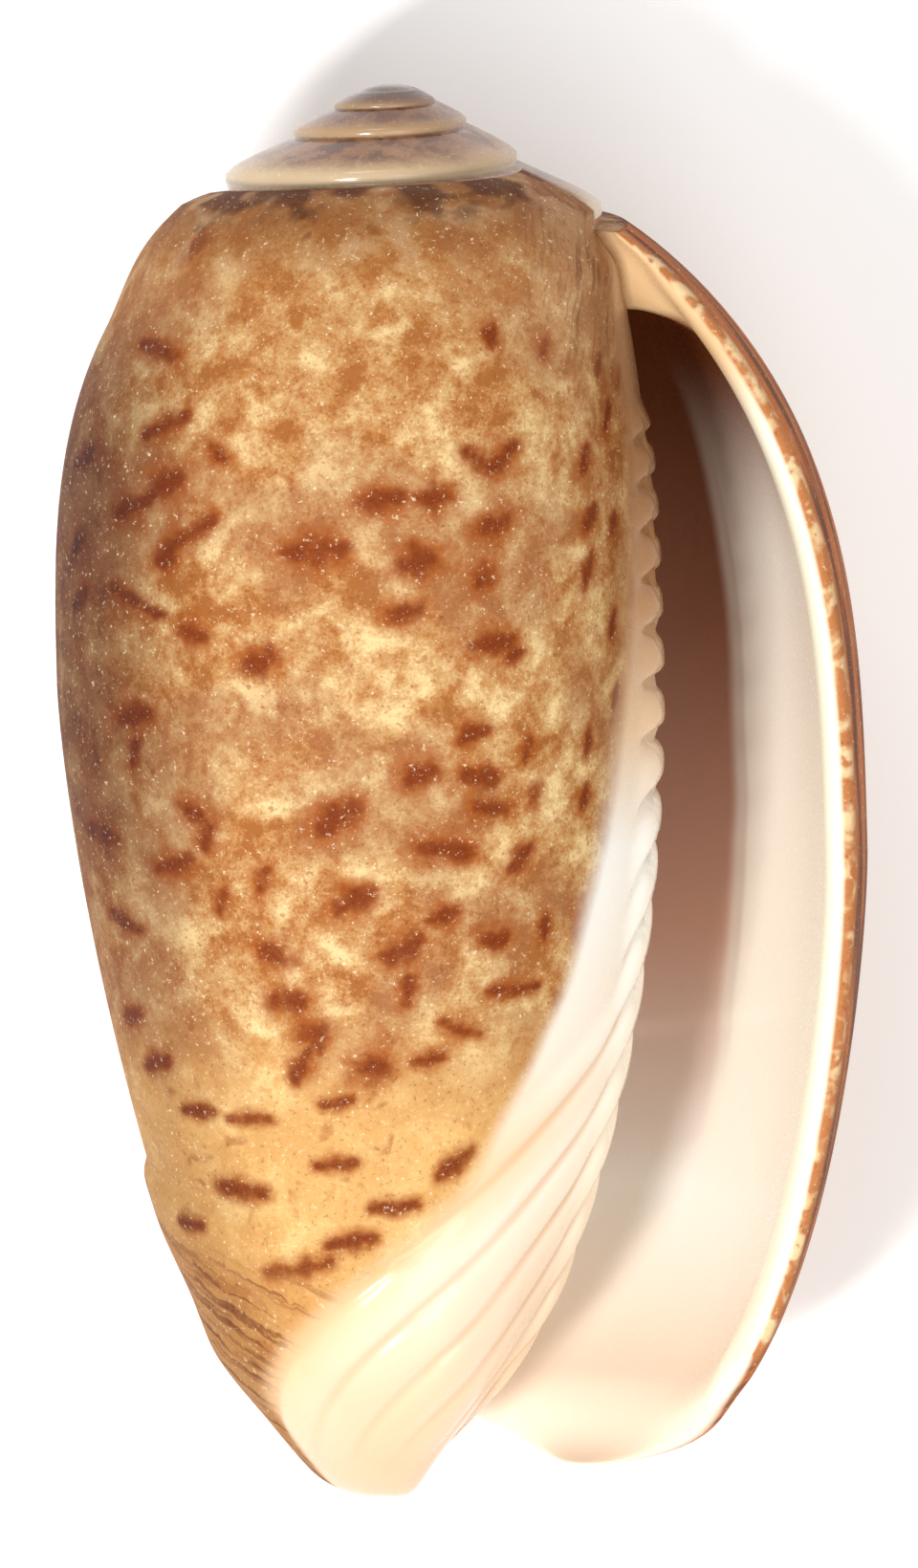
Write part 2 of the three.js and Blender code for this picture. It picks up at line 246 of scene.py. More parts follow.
SLOT_ANGLE = -150
NOTCH_ANGLE = -90
FLANGE_ANGLE = -35
RIDGE_EDGE_ANGLE = -350
print("the last whorl's widest radius is", SIZES["Widest radius"], "mm")


# %% A tree that has the sizes as inputs
def size_tree(name, inputs, outputs):
    """A geometry tree with these inputs, the sizes, and these outputs."""
    tree = bpy.data.node_groups.new(name, "GeometryNodeTree")
    for title, value in {**inputs, **SIZES}.items():
        socket = tree.interface.new_socket(title, in_out="INPUT", socket_type="NodeSocketFloat")
        socket.default_value = value
    for title, kind in outputs.items():
        tree.interface.new_socket(title, in_out="OUTPUT", socket_type=kind)
    graph = Graph(tree)
    graph.entry = tree.nodes.new("NodeGroupInput")
    graph.exit = tree.nodes.new("NodeGroupOutput")
    return graph


def size(graph, title):
    return Wire(graph, graph.entry.outputs[title])


def use(graph, group, inputs, output):
    """Adds a group node, with the sizes passed on to it."""
    passed = {title: size(graph, title) for title in SIZES}
    return graph.add(
        "GeometryNodeGroup", {"node_tree": group.tree}, {**passed, **inputs}, output
    )


FLOAT = "NodeSocketFloat"
GEOMETRY = "NodeSocketGeometry"
print(len(SIZES), "sizes are inputs of the trees")


# %% [markdown]
# Growth is the rule of the coil: each whorl is the same shape as the one before, larger by one
# ratio. Only the pillar in the middle and the spire's shoulder depart from it. This group gives
# the radius of the outside at any angle and depth.


# %% Growth along the coil
def growth(graph, angle):
    return size(graph, "Whorl ratio") ** (angle / 360)


def suture_depth(graph, angle):
    start = size(graph, "Coil start")
    return (size(graph, "Suture depth") + start) * growth(graph, angle) - start


def grown_depth(graph, scale, depth):
    """A depth on a smaller whorl, grown to angle 0, closing up towards the tip."""
    start = size(graph, "Coil start")
    length = size(graph, "Length")
    closing = size(graph, "Closing")
    grown = (depth + start) / scale - start
    end = (length + start) / scale - start
    closed = 1 + (grown / length) ** closing - (grown / end) ** closing
    return grown / closed ** (1 / closing)


# %% Sides of the last whorl, of a spire whorl and of the pillar
SIDE_POWERS = (3.09, 0.8)
LOWER_POWERS = (1.45, 0.24)
SPIRE_POWER = 1.2
PILLAR_POWERS = (2.4, 0.8)
PILLAR_TOP_NARROWS = 1.3


def whorl_side(graph, depth):
    widest = size(graph, "Widest depth")
    radius = size(graph, "Widest radius")
    shoulder = size(graph, "Shoulder radius")
    up = clamp01((widest - depth) / (widest - size(graph, "Shoulder depth")))
    down = clamp01((depth - widest) / (size(graph, "Length") - widest))
    upper = lerp(shoulder, radius, (1 - up ** SIDE_POWERS[0]) ** SIDE_POWERS[1])
    lower = (1 - down ** LOWER_POWERS[0]) ** LOWER_POWERS[1]
    return upper * lower


def spire_side(graph, angle, depth):
    """A flatter shoulder that turns into a short upright wall."""
    top = size(graph, "Suture depth")
    share = clamp01((depth - top) / (size(graph, "Spire wall depth") - top))
    curve = 1 - (1 - share) ** SPIRE_POWER
    offset = 1 - size(graph, "Spire offset") * (angle * math.radians(1)).math("COSINE")
    return lerp(size(graph, "Suture radius"), size(graph, "Spire wall radius"), curve) * offset


def pillar_side(graph, depth):
    widest = size(graph, "Pillar widest")
    up = ((widest - depth) / (widest - size(graph, "Suture depth"))).math("MAXIMUM", 0)
    down = clamp01((depth - widest) / (size(graph, "Length") - widest))
    lower = size(graph, "Pillar radius") * (1 - down ** PILLAR_POWERS[0]) ** PILLAR_POWERS[1]
    return lower - PILLAR_TOP_NARROWS * up * up


# %% Ridges of the inner lip
TOP_RIDGE_SHARE = 0.7
LONG_RIDGE_SHARE = 0.3
RIDGE_MIDDLE = 0.65
RIDGE_SKEW = 0.5
GROOVE_POWER = 2.2
RIDGE_BEND_ANGLES = (RIDGE_EDGE_ANGLE, -330)
RIDGE_OUTER_ANGLES = (RIDGE_EDGE_ANGLE, -336)
RIDGE_INNER_ANGLES = (-440, -370)
RIDGE_SLANT_DEPTHS = (22, 30)
LONG_RIDGE_DEPTHS = (29.5, 32)
TOP_RIDGE_DEPTHS = (25, 15)
FIRST_RIDGE_NUMBERS = (-0.7, 0.3)
RIDGE_FOOT_DEPTHS = (46, 49.5)


def ridge_start(graph, angle, depth):
    """The depth at which the ridge here starts on the inner lip."""
    bend = size(graph, "Ridge bend") * ease(*RIDGE_BEND_ANGLES, angle)
    slant = size(graph, "Ridge slope") * (angle - RIDGE_EDGE_ANGLE) + bend
    return depth - slant * ease(*RIDGE_SLANT_DEPTHS, depth)


def ridges(graph, angle, depth):
    """Broad ridges with narrow grooves: short teeth above, long ridges on the pillar's end."""
    step = size(graph, "Ridge step")
    step_growth = size(graph, "Ridge step growth")
    start = ridge_start(graph, angle, depth)
    under = step ** 2 + 4 * step_growth * (start - size(graph, "First ridge"))
    number = (under.math("MAXIMUM", 0) ** 0.5 - step) / (2 * step_growth)
    long = LONG_RIDGE_SHARE * ease(*LONG_RIDGE_DEPTHS, start)
    outward = 1 + (long - 1) * ease(*RIDGE_OUTER_ANGLES, angle)
    inward = ease(*RIDGE_INNER_ANGLES, angle)
    ends = ease(*FIRST_RIDGE_NUMBERS, number) * (1 - ease(*RIDGE_FOOT_DEPTHS, depth))
    turn = number * math.tau
    skewed = turn + RIDGE_SKEW * (1 - turn.math("COSINE"))
    groove = (0.5 - 0.5 * skewed.math("COSINE")) ** GROOVE_POWER
    top = 1 - (1 - TOP_RIDGE_SHARE) * ease(*TOP_RIDGE_DEPTHS, depth)
    height = size(graph, "Ridge height") * top
    return height * (RIDGE_MIDDLE - groove) * outward * inward * ends


# %% A low ledge round the lower end, where the growth lines begin
LEFT_ANGLE = -180
LEDGE_SLOPE = 0.03
LEDGE_STEP = 0.8
LEDGE_FALL = (1.8, 5.3)
LEDGE_START_ANGLES = (-300, -230)
LEDGE_END_ANGLES = (-100, 0)


def ledge(graph, angle, depth):
    top = size(graph, "Ledge depth")
    level = depth + (angle - LEFT_ANGLE) * LEDGE_SLOPE
    above = ease(top, top + LEDGE_STEP, level)
    below = 1 - ease(top + LEDGE_FALL[0], top + LEDGE_FALL[1], level)
    round_it = ease(*LEDGE_START_ANGLES, angle) * (1 - ease(*LEDGE_END_ANGLES, angle))
    return size(graph, "Ledge height") * above * below * round_it


# %% The outside of the wall
BULGE_TOP_DEPTHS = (4.8, 5.6)
BULGE_FOOT_DEPTHS = (6, 11)
SPIRE_ANGLES = (-350, -310)
SPIRE_FOOT_DEPTHS = (8.8, 11)
TAPER_LENGTH = 6
INNER_ANGLES = (-275, -345)
PILLAR_TOP_LENGTH = 3
FLARE_TOP = 46.5
FLARE_ANGLES = (-140, -60)

outside_group = size_tree("outside of the wall", {"Angle": 0, "Depth": 0}, {"Radius": FLOAT})


def build_outside(graph):
    angle = size(graph, "Angle")
    depth = size(graph, "Depth")
    scale = growth(graph, angle)
    grown = grown_depth(graph, scale, depth)
    left = 1 - ease(LEFT_ANGLE, 0, angle)
    bulge = ease(*BULGE_TOP_DEPTHS, grown) * (1 - ease(*BULGE_FOOT_DEPTHS, grown)) * left
    side = whorl_side(graph, grown) + size(graph, "Shoulder bulge") * bulge
    spire = (1 - ease(*SPIRE_ANGLES, angle)) * (1 - ease(*SPIRE_FOOT_DEPTHS, grown))
    tip_top = size(graph, "Tip depth")
    tip = 1 - size(graph, "Tip taper") * ease(tip_top, tip_top + TAPER_LENGTH, depth) * left
    coil = scale * tip * lerp(side, spire_side(graph, angle, grown), spire)
    coil = coil + ledge(graph, angle, depth)
    top = size(graph, "Suture depth")
    inner = ease(*INNER_ANGLES, angle) * ease(top, top + PILLAR_TOP_LENGTH, depth)
    pillar = pillar_side(graph, depth) * growth(graph, (angle + 360).math("MINIMUM", 0))
    flare = size(graph, "Flare") * ease(FLARE_TOP, size(graph, "Length"), depth)
    flare = flare * ease(*FLARE_ANGLES, angle)
    return lerp(coil, pillar, inner) + flare + ridges(graph, angle, depth)


outside_group.feed(outside_group.exit.inputs["Radius"], build_outside(outside_group))
print("the outside takes", len(outside_group.tree.nodes), "nodes")


def outside(graph, angle, depth):
    return use(graph, outside_group, {"Angle": angle, "Depth": depth}, "Radius")


def suture_radius(graph, angle):
    groove = size(graph, "Suture groove") * growth(graph, angle)
    return outside(graph, angle - 360, suture_depth(graph, angle)) - groove


# %% [markdown]
# The wall has an inside too. It follows the whorl before it at a distance, and ends in the lip
# and in the front margin, where both sides meet in a round edge.

# %% The margin and the two sides of the wall
LIP_CORNER_POWER = 2.4
FLANGE_FULLNESS = 1.15
THINNEST_SHARE = 0.45
TOP_ROUND = 1.6
EDGE_SHARE = 0.25
RISE_TO_NOTCH_ANGLES = (INNER_END_ANGLE, -100)
CORNER_ANGLES = (LIP_ANGLE, LIP_ANGLE - 16)


def margin_depth(graph, angle):
    """From the tip up to the notch, down to the flange, up to the lip."""
    length = size(graph, "Length")
    notch = size(graph, "Notch depth")
    flange = size(graph, "Flange depth")
    to_notch = ease(*RISE_TO_NOTCH_ANGLES, angle)
    past_notch = clamp01((angle - NOTCH_ANGLE) / (FLANGE_ANGLE - NOTCH_ANGLE))
    to_flange = (past_notch * math.pi / 2).math("SINE") ** FLANGE_FULLNESS
    corner = clamp01((angle - FLANGE_ANGLE) / (LIP_ANGLE - FLANGE_ANGLE)) ** LIP_CORNER_POWER
    rise = size(graph, "Lip corner rise") * corner
    return length - (length - notch) * to_notch + (flange - notch) * to_flange - rise


def corner_depth(graph, angle):
    """The top of the space inside the wall."""
    drop = size(graph, "Corner drop") * growth(graph, angle)
    return suture_depth(graph, angle) + drop * ease(*CORNER_ANGLES, angle)


def quarter_round(distance, reach):
    return (1 - (1 - clamp01(distance / reach)) ** 2) ** 0.5


wall_group = size_tree(
    "two sides of the wall", {"Angle": 0, "Depth": 0}, {"Outer": FLOAT, "Inner": FLOAT}
)


def build_wall(graph):
    angle = size(graph, "Angle")
    depth = size(graph, "Depth")
    outer = outside(graph, angle, depth)
    core = outside(graph, angle - 360, depth)
    room = (outer - core).math("MAXIMUM", 0)
    share = (1 - size(graph, "Wall") / room.math("MAXIMUM", 0.01)).math("MAXIMUM", THINNEST_SHARE)
    opened = ease(INNER_END_ANGLE, SLOT_ANGLE, angle)
    above_margin = margin_depth(graph, angle) - depth
    reach = (size(graph, "Slot reach") * opened).math("MAXIMUM", MM)
    near_margin = 1 - ease(0, reach, above_margin)
    top = quarter_round(depth - corner_depth(graph, angle), TOP_ROUND)
    hollow = core + room * share * opened.math("MAXIMUM", near_margin) * top
    edge = lerp(outer, hollow, EDGE_SHARE)
    rounded = angle.math("GREATER_THAN", INNER_END_ANGLE)
    before_lip = (LIP_ANGLE - angle) * math.radians(1)
    outer_round = size(graph, "Outer round")
    inner_round = (size(graph, "Inner round") * opened).math("MAXIMUM", MM)
    outer_full = quarter_round(before_lip * outer, outer_round)
    outer_full = outer_full * quarter_round(above_margin, outer_round)
    inner_full = quarter_round(before_lip * hollow, size(graph, "Inner round"))
    inner_full = inner_full * quarter_round(above_margin, inner_round)
    graph.feed(graph.exit.inputs["Outer"], lerp(outer, edge, (1 - outer_full) * rounded))
    graph.feed(graph.exit.inputs["Inner"], lerp(hollow, edge, (1 - inner_full) * rounded))


build_wall(wall_group)
print("the wall takes", len(wall_group.tree.nodes), "nodes")

# %% [markdown]
# The surface is laid out as grids: one band for each whorl of the spire, one sheet for the
# outside of the last whorl, one for the pillar behind the inner lip and one for the inside of the
# wall. A grid's column is an angle and its row is a depth. Grids that meet have the same columns
# or rows on the shared edge, so Merge by Distance closes the surface.

# %% Sheets
BAND_ROWS = 10
BODY_ROWS = 240
FRONT_COLUMNS = 90
BACK_COLUMNS = 90
LIP_COLUMNS = 12
LIP_STRIP = 8
SPIRE_WHORLS = 3
BAND_POWER = 1.6
ROW_POWER = 1.25
CAP_ROWS = 6
CAP_POWER = 2.4
MERGE_DISTANCE = 0.000002
ALMOST = 0.0001
TIP_TOP = 42
LEAN_REACH = 5
DOME_REACH = 1.8
SPIRE_LEAN_TOP = 2.5

shell_group = size_tree("olive shell", {}, {"Geometry": GEOMETRY})


def grid(graph, columns, rows):
    """A grid, and where each of its points lies in it, from 0 to 1 both ways."""
    sides = {"Size X": 1, "Size Y": 1, "Vertices X": columns + 1, "Vertices Y": rows + 1}
    mesh = graph.add("GeometryNodeMeshGrid", None, sides)
    place = graph.add("ShaderNodeSeparateXYZ", None, {0: graph.add("GeometryNodeInputPosition")})
    u = ((place.output("X") + 0.5) * columns).math("ROUND") / columns
    v = ((place.output("Y") + 0.5) * rows).math("ROUND") / rows
    return mesh, u, v


def pick(is_first, first, second):
    return second + (first - second) * is_first


def back_angle(u, columns=BACK_COLUMNS, strip=LIP_COLUMNS):
    """Columns over the back, closer together at the lip."""
    plain = 1 - strip / columns
    even = lerp(INNER_END_ANGLE, LIP_ANGLE - LIP_STRIP, (u / plain).math("MINIMUM", 1))
    close = clamp01((u - plain) / (1 - plain))
    return even + LIP_STRIP * (1 - (1 - close) ** 2)


def turn_angle(u):
    """Columns once round: first the front, then the back."""
    column = u * (FRONT_COLUMNS + BACK_COLUMNS)
    front = clamp01(column / FRONT_COLUMNS) * (INNER_END_ANGLE - FRONT_START) + FRONT_START
    back = back_angle(clamp01((column - FRONT_COLUMNS) / BACK_COLUMNS))
    return pick(column.math("GREATER_THAN", FRONT_COLUMNS + 0.5), back, front)


def row_share(v):
    return 1 - (1 - v) ** ROW_POWER


def to_margin(graph, angle, top, below):
    """The depth of a row, which is exactly the margin's on the last one, so that seams close."""
    margin = margin_depth(graph, angle)
    depth = top + (margin - top) * row_share(below)
    return pick(below.math("GREATER_THAN", 1 - ALMOST), margin, depth)


def shaped(graph, mesh, angle, depth, radius, inside, band=1.0):
    """Moves a grid's points to their places on the shell and keeps what the finish needs."""
    turn = angle * math.radians(1)
    tip = ease(TIP_TOP, size(graph, "Length"), depth)
    lean = tip * (-((radius / LEAN_REACH) ** 2)).math("EXPONENT")
    dome = tip * (-((radius / DOME_REACH) ** 2)).math("EXPONENT")
    x = radius * turn.math("COSINE") - size(graph, "Pillar lean") * lean
    z = (radius * turn.math("SINE") + size(graph, "Rest height")).math("MAXIMUM", 0)
    spire = 1 - ease(SPIRE_LEAN_TOP, size(graph, "Suture depth"), depth)
    down = depth + size(graph, "Spire lean") * x * spire + size(graph, "Tip dome") * dome
    y = size(graph, "Rest depth") - down
    kept = {"coil_angle": angle, "coil_depth": depth, "inside": inside, "band": band}
    kept["ridge"] = ridges(graph, angle, depth)
    for name, value in kept.items():
        mesh = graph.add(
            "GeometryNodeStoreNamedAttribute",
            {"data_type": "FLOAT", "domain": "POINT"},
            {"Geometry": mesh, "Name": name, "Value": value},
        )
    place = graph.add("ShaderNodeCombineXYZ", None, {0: x * MM, 1: y * MM, 2: z * MM})
    return graph.add("GeometryNodeSetPosition", None, {"Geometry": mesh, "Position": place})


def band_depth(graph, angle, share):
    return lerp(suture_depth(graph, angle), suture_depth(graph, angle + 360), share)


# %% Sheets of the outside
def wall(graph, angle, depth, side):
    return use(graph, wall_group, {"Angle": angle, "Depth": depth}, side)


def spire_band(graph, number):
    """The top of a whorl, which is all that shows of it on the spire."""
    mesh, u, v = grid(graph, FRONT_COLUMNS + BACK_COLUMNS, BAND_ROWS)
    angle = turn_angle(u) - 360 * number
    depth = band_depth(graph, angle, v ** BAND_POWER)
    radius = outside(graph, angle, depth)
    radius = pick(v.math("LESS_THAN", ALMOST), suture_radius(graph, angle), radius)
    radius = pick(v.math("GREATER_THAN", 1 - ALMOST), suture_radius(graph, angle + 360), radius)
    return shaped(graph, mesh, angle, depth, radius, 0.0, v ** BAND_POWER)


def last_whorl(graph):
    """The band and the body of the last whorl, down to the margin."""
    mesh, u, v = grid(graph, FRONT_COLUMNS + BACK_COLUMNS, BAND_ROWS + BODY_ROWS)
    angle = turn_angle(u)
    row = v * (BAND_ROWS + BODY_ROWS)
    band = (row / BAND_ROWS).math("MINIMUM", 1)
    below = clamp01((row - BAND_ROWS) / BODY_ROWS)
    top = band_depth(graph, angle, band ** BAND_POWER)
    depth = to_margin(graph, angle, top, below)
    radius = wall(graph, angle, depth, "Outer")
    radius = pick(row.math("LESS_THAN", 0.5), suture_radius(graph, angle), radius)
    lip_corner = angle.math("LESS_THAN", FRONT_START + ALMOST)
    lip_corner = lip_corner * (1 - (row - BAND_ROWS).math("ABSOLUTE").math("GREATER_THAN", 0.5))
    radius = pick(lip_corner, suture_radius(graph, angle + 360), radius)
    return shaped(graph, mesh, angle, depth, radius, 0.0, band ** BAND_POWER)


# %% Sheets of the pillar and of the inside
def corner_radius(graph, angle):
    at_lip = angle.math("GREATER_THAN", LIP_ANGLE - ALMOST)
    below = outside(graph, angle - 360, corner_depth(graph, angle))
    return pick(at_lip, suture_radius(graph, angle), below)


def pillar_sheet(graph):
    """The pillar, seen through the aperture behind the inner lip."""
    mesh, u, v = grid(graph, BACK_COLUMNS, BODY_ROWS)
    angle = back_angle(u)
    top = corner_depth(graph, angle)
    depth = top + (size(graph, "Length") - top) * row_share(v)
    radius = outside(graph, angle - 360, depth)
    radius = pick(v.math("LESS_THAN", ALMOST), corner_radius(graph, angle), radius)
    return shaped(graph, mesh, angle - 360, depth, radius, 0.0)


def inner_sheet(graph):
    """The inside of the wall, with its columns the other way round so that it faces inwards."""
    mesh, u, v = grid(graph, BACK_COLUMNS, BAND_ROWS + BODY_ROWS)
    angle = back_angle(1 - u)
    row = v * (BAND_ROWS + BODY_ROWS)
    band = (row / BAND_ROWS).math("MINIMUM", 1)
    below = clamp01((row - BAND_ROWS) / BODY_ROWS)
    share = ease(*RISE_TO_NOTCH_ANGLES, angle) * band ** BAND_POWER
    top = lerp(corner_depth(graph, angle), suture_depth(graph, angle + 360), share)
    depth = to_margin(graph, angle, top, below)
    radius = wall(graph, angle, depth, "Inner")
    radius = pick(row.math("LESS_THAN", 0.5), corner_radius(graph, angle), radius)
    return shaped(graph, mesh, angle, depth, radius, 1.0)


# %% The dome on the apex
def cap(graph):
    """A small dome on the first whorl. Its rim goes once round and steps back to its start."""
    around = FRONT_COLUMNS + BACK_COLUMNS
    mesh, u, v = grid(graph, around + BAND_ROWS, CAP_ROWS)
    column = u * (around + BAND_ROWS) - around
    first = FRONT_START - 360 * SPIRE_WHORLS
    angle = turn_angle(clamp01(1 + column / around)) - 360 * SPIRE_WHORLS
    stepping = column.math("GREATER_THAN", 0.5)
    angle = pick(stepping, first, angle)
    share = (1 - clamp01(column / BAND_ROWS)) ** BAND_POWER
    share = pick(stepping, share, 0.0)
    depth = band_depth(graph, angle, share)
    radius = outside(graph, angle, depth)
    on_suture = share.math("LESS_THAN", ALMOST)
    radius = pick(on_suture, suture_radius(graph, angle), radius)
    at_next = share.math("GREATER_THAN", 1 - ALMOST)
    radius = pick(at_next, suture_radius(graph, angle + 360), radius)
    return shaped(graph, mesh, angle, depth * v ** CAP_POWER, radius * v, 0.0, 0.0)


# %% [markdown]
# The tree joins the sheets, closes their shared edges and gives the shell its material. The
# result is read back as a plain mesh, so that the modifier can go.

# %% The tree
finish = bpy.data.materials.new("olive shell")
finish.use_nodes = True


def build_shell(graph):
    sheets = [
        last_whorl(graph),
        pillar_sheet(graph),
        inner_sheet(graph),
        cap(graph),
    ]
    sheets += [spire_band(graph, number) for number in range(1, SPIRE_WHORLS + 1)]
    join = graph.tree.nodes.new("GeometryNodeJoinGeometry")
    for sheet in sheets:
        graph.tree.links.new(sheet.socket, join.inputs[0])
    joined = Wire(graph, join.outputs[0])
    merge = {"Geometry": joined, "Distance": MERGE_DISTANCE}
    closed = graph.add("GeometryNodeMergeByDistance", None, merge)
    smooth = graph.add("GeometryNodeSetShadeSmooth", None, {"Geometry": closed})
    real = graph.add("GeometryNodeRealizeInstances", None, {"Geometry": smooth})
    made = graph.add("GeometryNodeSetMaterial", None, {"Geometry": real, "Material": finish})
    graph.feed(graph.exit.inputs["Geometry"], made)


build_shell(shell_group)


def run_tree(name, group, values):
    """Runs a tree on an empty mesh, and returns an object with the result as a plain mesh."""
    made = bpy.data.objects.new(name, bpy.data.meshes.new(name))
    bpy.context.scene.collection.objects.link(made)
    modifier = made.modifiers.new("shape", "NODES")
    modifier.node_group = group.tree
    for item in group.tree.interface.items_tree:
        if item.in_out == "INPUT" and item.name in values:
            modifier[item.identifier] = float(values[item.name])
    bpy.context.view_layer.update()
    evaluated = made.evaluated_get(bpy.context.evaluated_depsgraph_get())
    mesh = bpy.data.meshes.new_from_object(evaluated)
    made.modifiers.clear()
    made.data = mesh
    return made


shell = run_tree("olive_shell", shell_group, SIZES)
shell.data.calc_loop_triangles()
print(len(shell.data.vertices), "points,", len(shell.data.loop_triangles), "triangles")

# %% [markdown]
# The dark marks are short brush strokes. On the real shell they lie where the animal's colour
# glands worked at the time, so the large ones are listed one by one as seen in the picture, each
# with its length, tilt and width. A ray from the camera finds where each end of a stroke lies on
# the shell. The back gets strokes of the same kind at random places, always the same ones.

# %% Strokes seen from the front: across and down from the apex, length, tilt, width, in mm
STROKES = [
    (-7.0, 5.8, 0.8, 40, 0.35), (-8.2, 9.4, 1.3, -20, 0.3), (-8.0, 12.1, 1.6, 25, 0.25),
    (-8.0, 14.1, 0.9, 30, 0.45), (-9.1, 14.9, 1.4, 25, 0.3), (-7.2, 16.0, 2.2, 33, 0.3),
    (-8.0, 16.7, 0.5, 20, 0.35), (-10.9, 13.2, 0.7, 40, 0.3), (-11.1, 16.2, 0.7, 60, 0.3),
    (-11.0, 18.2, 0.7, 60, 0.3), (-9.0, 18.3, 2.0, -30, 0.22), (-7.1, 19.4, 0.8, -25, 0.35),
    (-6.1, 13.1, 0.6, -40, 0.25), (-2.7, 16.5, 1.7, 5, 0.42), (-4.7, 20.4, 0.9, 15, 0.42),
    (-0.3, 14.7, 1.3, 5, 0.4), (1.5, 14.6, 0.7, 0, 0.45), (3.0, 13.3, 1.0, -40, 0.3),
    (3.9, 13.2, 1.1, 45, 0.35), (3.6, 15.6, 0.7, 20, 0.42), (0.9, 16.9, 1.0, 15, 0.42),
    (3.2, 17.4, 0.7, 60, 0.35), (0.5, 18.7, 0.9, 15, 0.38), (3.5, 19.8, 1.4, 5, 0.38),
    (4.3, 20.2, 0.5, 30, 0.25), (3.5, 8.9, 0.6, 80, 0.25), (5.4, 9.3, 0.5, 80, 0.25),
    (7.3, 9.8, 0.7, 80, 0.22), (8.0, 10.4, 0.6, 80, 0.2), (7.6, 11.7, 0.8, 80, 0.25),
    (6.8, 13.2, 0.8, 80, 0.25), (7.0, 15.3, 0.9, 70, 0.3), (7.8, 15.6, 0.7, 80, 0.22),
    (6.9, 17.2, 1.0, 75, 0.3), (7.8, 19.1, 0.9, 80, 0.22), (7.9, 21.6, 0.7, 80, 0.2),
    (6.9, 23.3, 0.9, 80, 0.22), (6.8, 25.2, 0.8, 80, 0.22), (-9.1, 22.3, 1.0, 10, 0.35),
    (-9.1, 23.6, 0.9, 80, 0.22), (-7.1, 25.7, 0.7, -30, 0.3), (-6.5, 26.6, 0.7, 70, 0.32),
    (-10.2, 26.5, 1.1, -20, 0.32), (-7.7, 27.6, 1.2, 15, 0.32), (-6.0, 28.9, 0.8, 80, 0.22),
    (-4.6, 28.2, 0.8, 70, 0.25), (-2.0, 26.0, 1.3, 35, 0.42), (-1.3, 28.9, 1.3, 30, 0.38),
    (-9.4, 29.6, 1.3, -30, 0.28), (-4.1, 30.8, 0.8, -35, 0.42), (-3.7, 32.5, 0.8, 0, 0.42),
    (-2.8, 33.6, 0.5, 20, 0.48), (-3.2, 34.7, 1.1, 65, 0.28), (-0.8, 34.8, 0.6, 0, 0.48),
    (-9.2, 32.9, 0.6, 20, 0.3), (-8.3, 34.6, 0.8, 20, 0.28), (2.9, 23.0, 0.8, 20, 0.32),
    (0.9, 24.4, 0.9, 20, 0.45), (3.1, 24.6, 1.0, -10, 0.4), (3.5, 25.6, 0.7, 0, 0.42),
    (4.8, 23.5, 0.8, 80, 0.22), (5.1, 25.1, 0.6, 70, 0.25), (1.9, 27.1, 1.7, -4, 0.36),
    (4.5, 27.4, 1.0, 50, 0.3), (1.8, 29.4, 1.0, 20, 0.3), (0.4, 30.6, 1.2, 28, 0.42),
    (3.6, 30.2, 0.9, 5, 0.32), (5.4, 29.8, 0.7, 80, 0.25), (0.6, 32.0, 0.8, 80, 0.25),
    (4.3, 32.0, 1.7, 8, 0.2), (2.4, 33.4, 1.4, -15, 0.22), (1.3, 34.5, 1.0, 10, 0.2),
    (-6.8, 36.3, 1.0, -5, 0.22), (-5.0, 36.6, 1.6, 0, 0.16), (-1.9, 36.0, 1.0, 10, 0.2),
    (-2.0, 38.2, 1.4, 5, 0.2), (-5.3, 39.1, 1.6, -10, 0.28), (2.2, 38.2, 1.4, 40, 0.25),
    (0.1, 39.7, 1.6, 5, 0.2), (-7.1, 40.3, 0.8, -10, 0.2), (-1.4, 40.9, 1.6, 10, 0.22),
    (-3.3, 41.9, 2.2, 12, 0.26), (-6.0, 42.4, 1.6, -25, 0.16), (-4.3, 44.8, 0.9, -35, 0.18),
]
BACK_STROKES = 130
BACK_SEED = 7
BACK_ANGLES = (-175, 14)
BACK_DEPTHS = (6, 43)
BACK_TILT = (25, 30)
BACK_HALF = (0.3, 0.9)
BACK_WIDTH = (0.22, 0.42)
print(len(STROKES), "strokes placed by hand")


# %% Ends of the strokes on the shell
def on_shell(tree, across_mm, down_mm):
    """Where a ray from the camera through a place in the picture meets the shell."""
    through = apex + (right * across_mm - up * down_mm) * MM
    start = camera.matrix_world.translation
    return tree.ray_cast(start, (through - start).normalized())[0]


def front_strokes(tree):
    ends = []
    for x, y, length, tilt, width in STROKES:
        dx = length / 2 * math.cos(math.radians(tilt))
        dy = length / 2 * math.sin(math.radians(tilt))
        first = on_shell(tree, x - dx, y + dy)
        last = on_shell(tree, x + dx, y - dy)
        if first and last:
            ends.append((first, last, width))
    return ends


def back_strokes(points, angles, depths, count):
    """Strokes at random points of the back, slanting as the front ones do."""
    chance = np.random.default_rng(BACK_SEED)
    usable = (angles > BACK_ANGLES[0]) & (angles < BACK_ANGLES[1])
    usable &= (depths > BACK_DEPTHS[0]) & (depths < BACK_DEPTHS[1])
    usable = np.flatnonzero(usable & (points[:, 2] < REST_HEIGHT * MM))
    ends = []
    for index in chance.choice(usable, count):
        centre = Vector(points[index])
        outwards = Vector((centre.x, 0, centre.z - REST_HEIGHT * MM)).normalized()
        sideways = outwards.cross(Vector((0, 1, 0)))
        tilt = math.radians(chance.normal(*BACK_TILT))
        half = chance.uniform(*BACK_HALF) * MM
        reach = (sideways * math.cos(tilt) + Vector((0, 1, 0)) * math.sin(tilt)) * half
        ends.append((centre - reach, centre + reach, chance.uniform(*BACK_WIDTH)))
    return ends


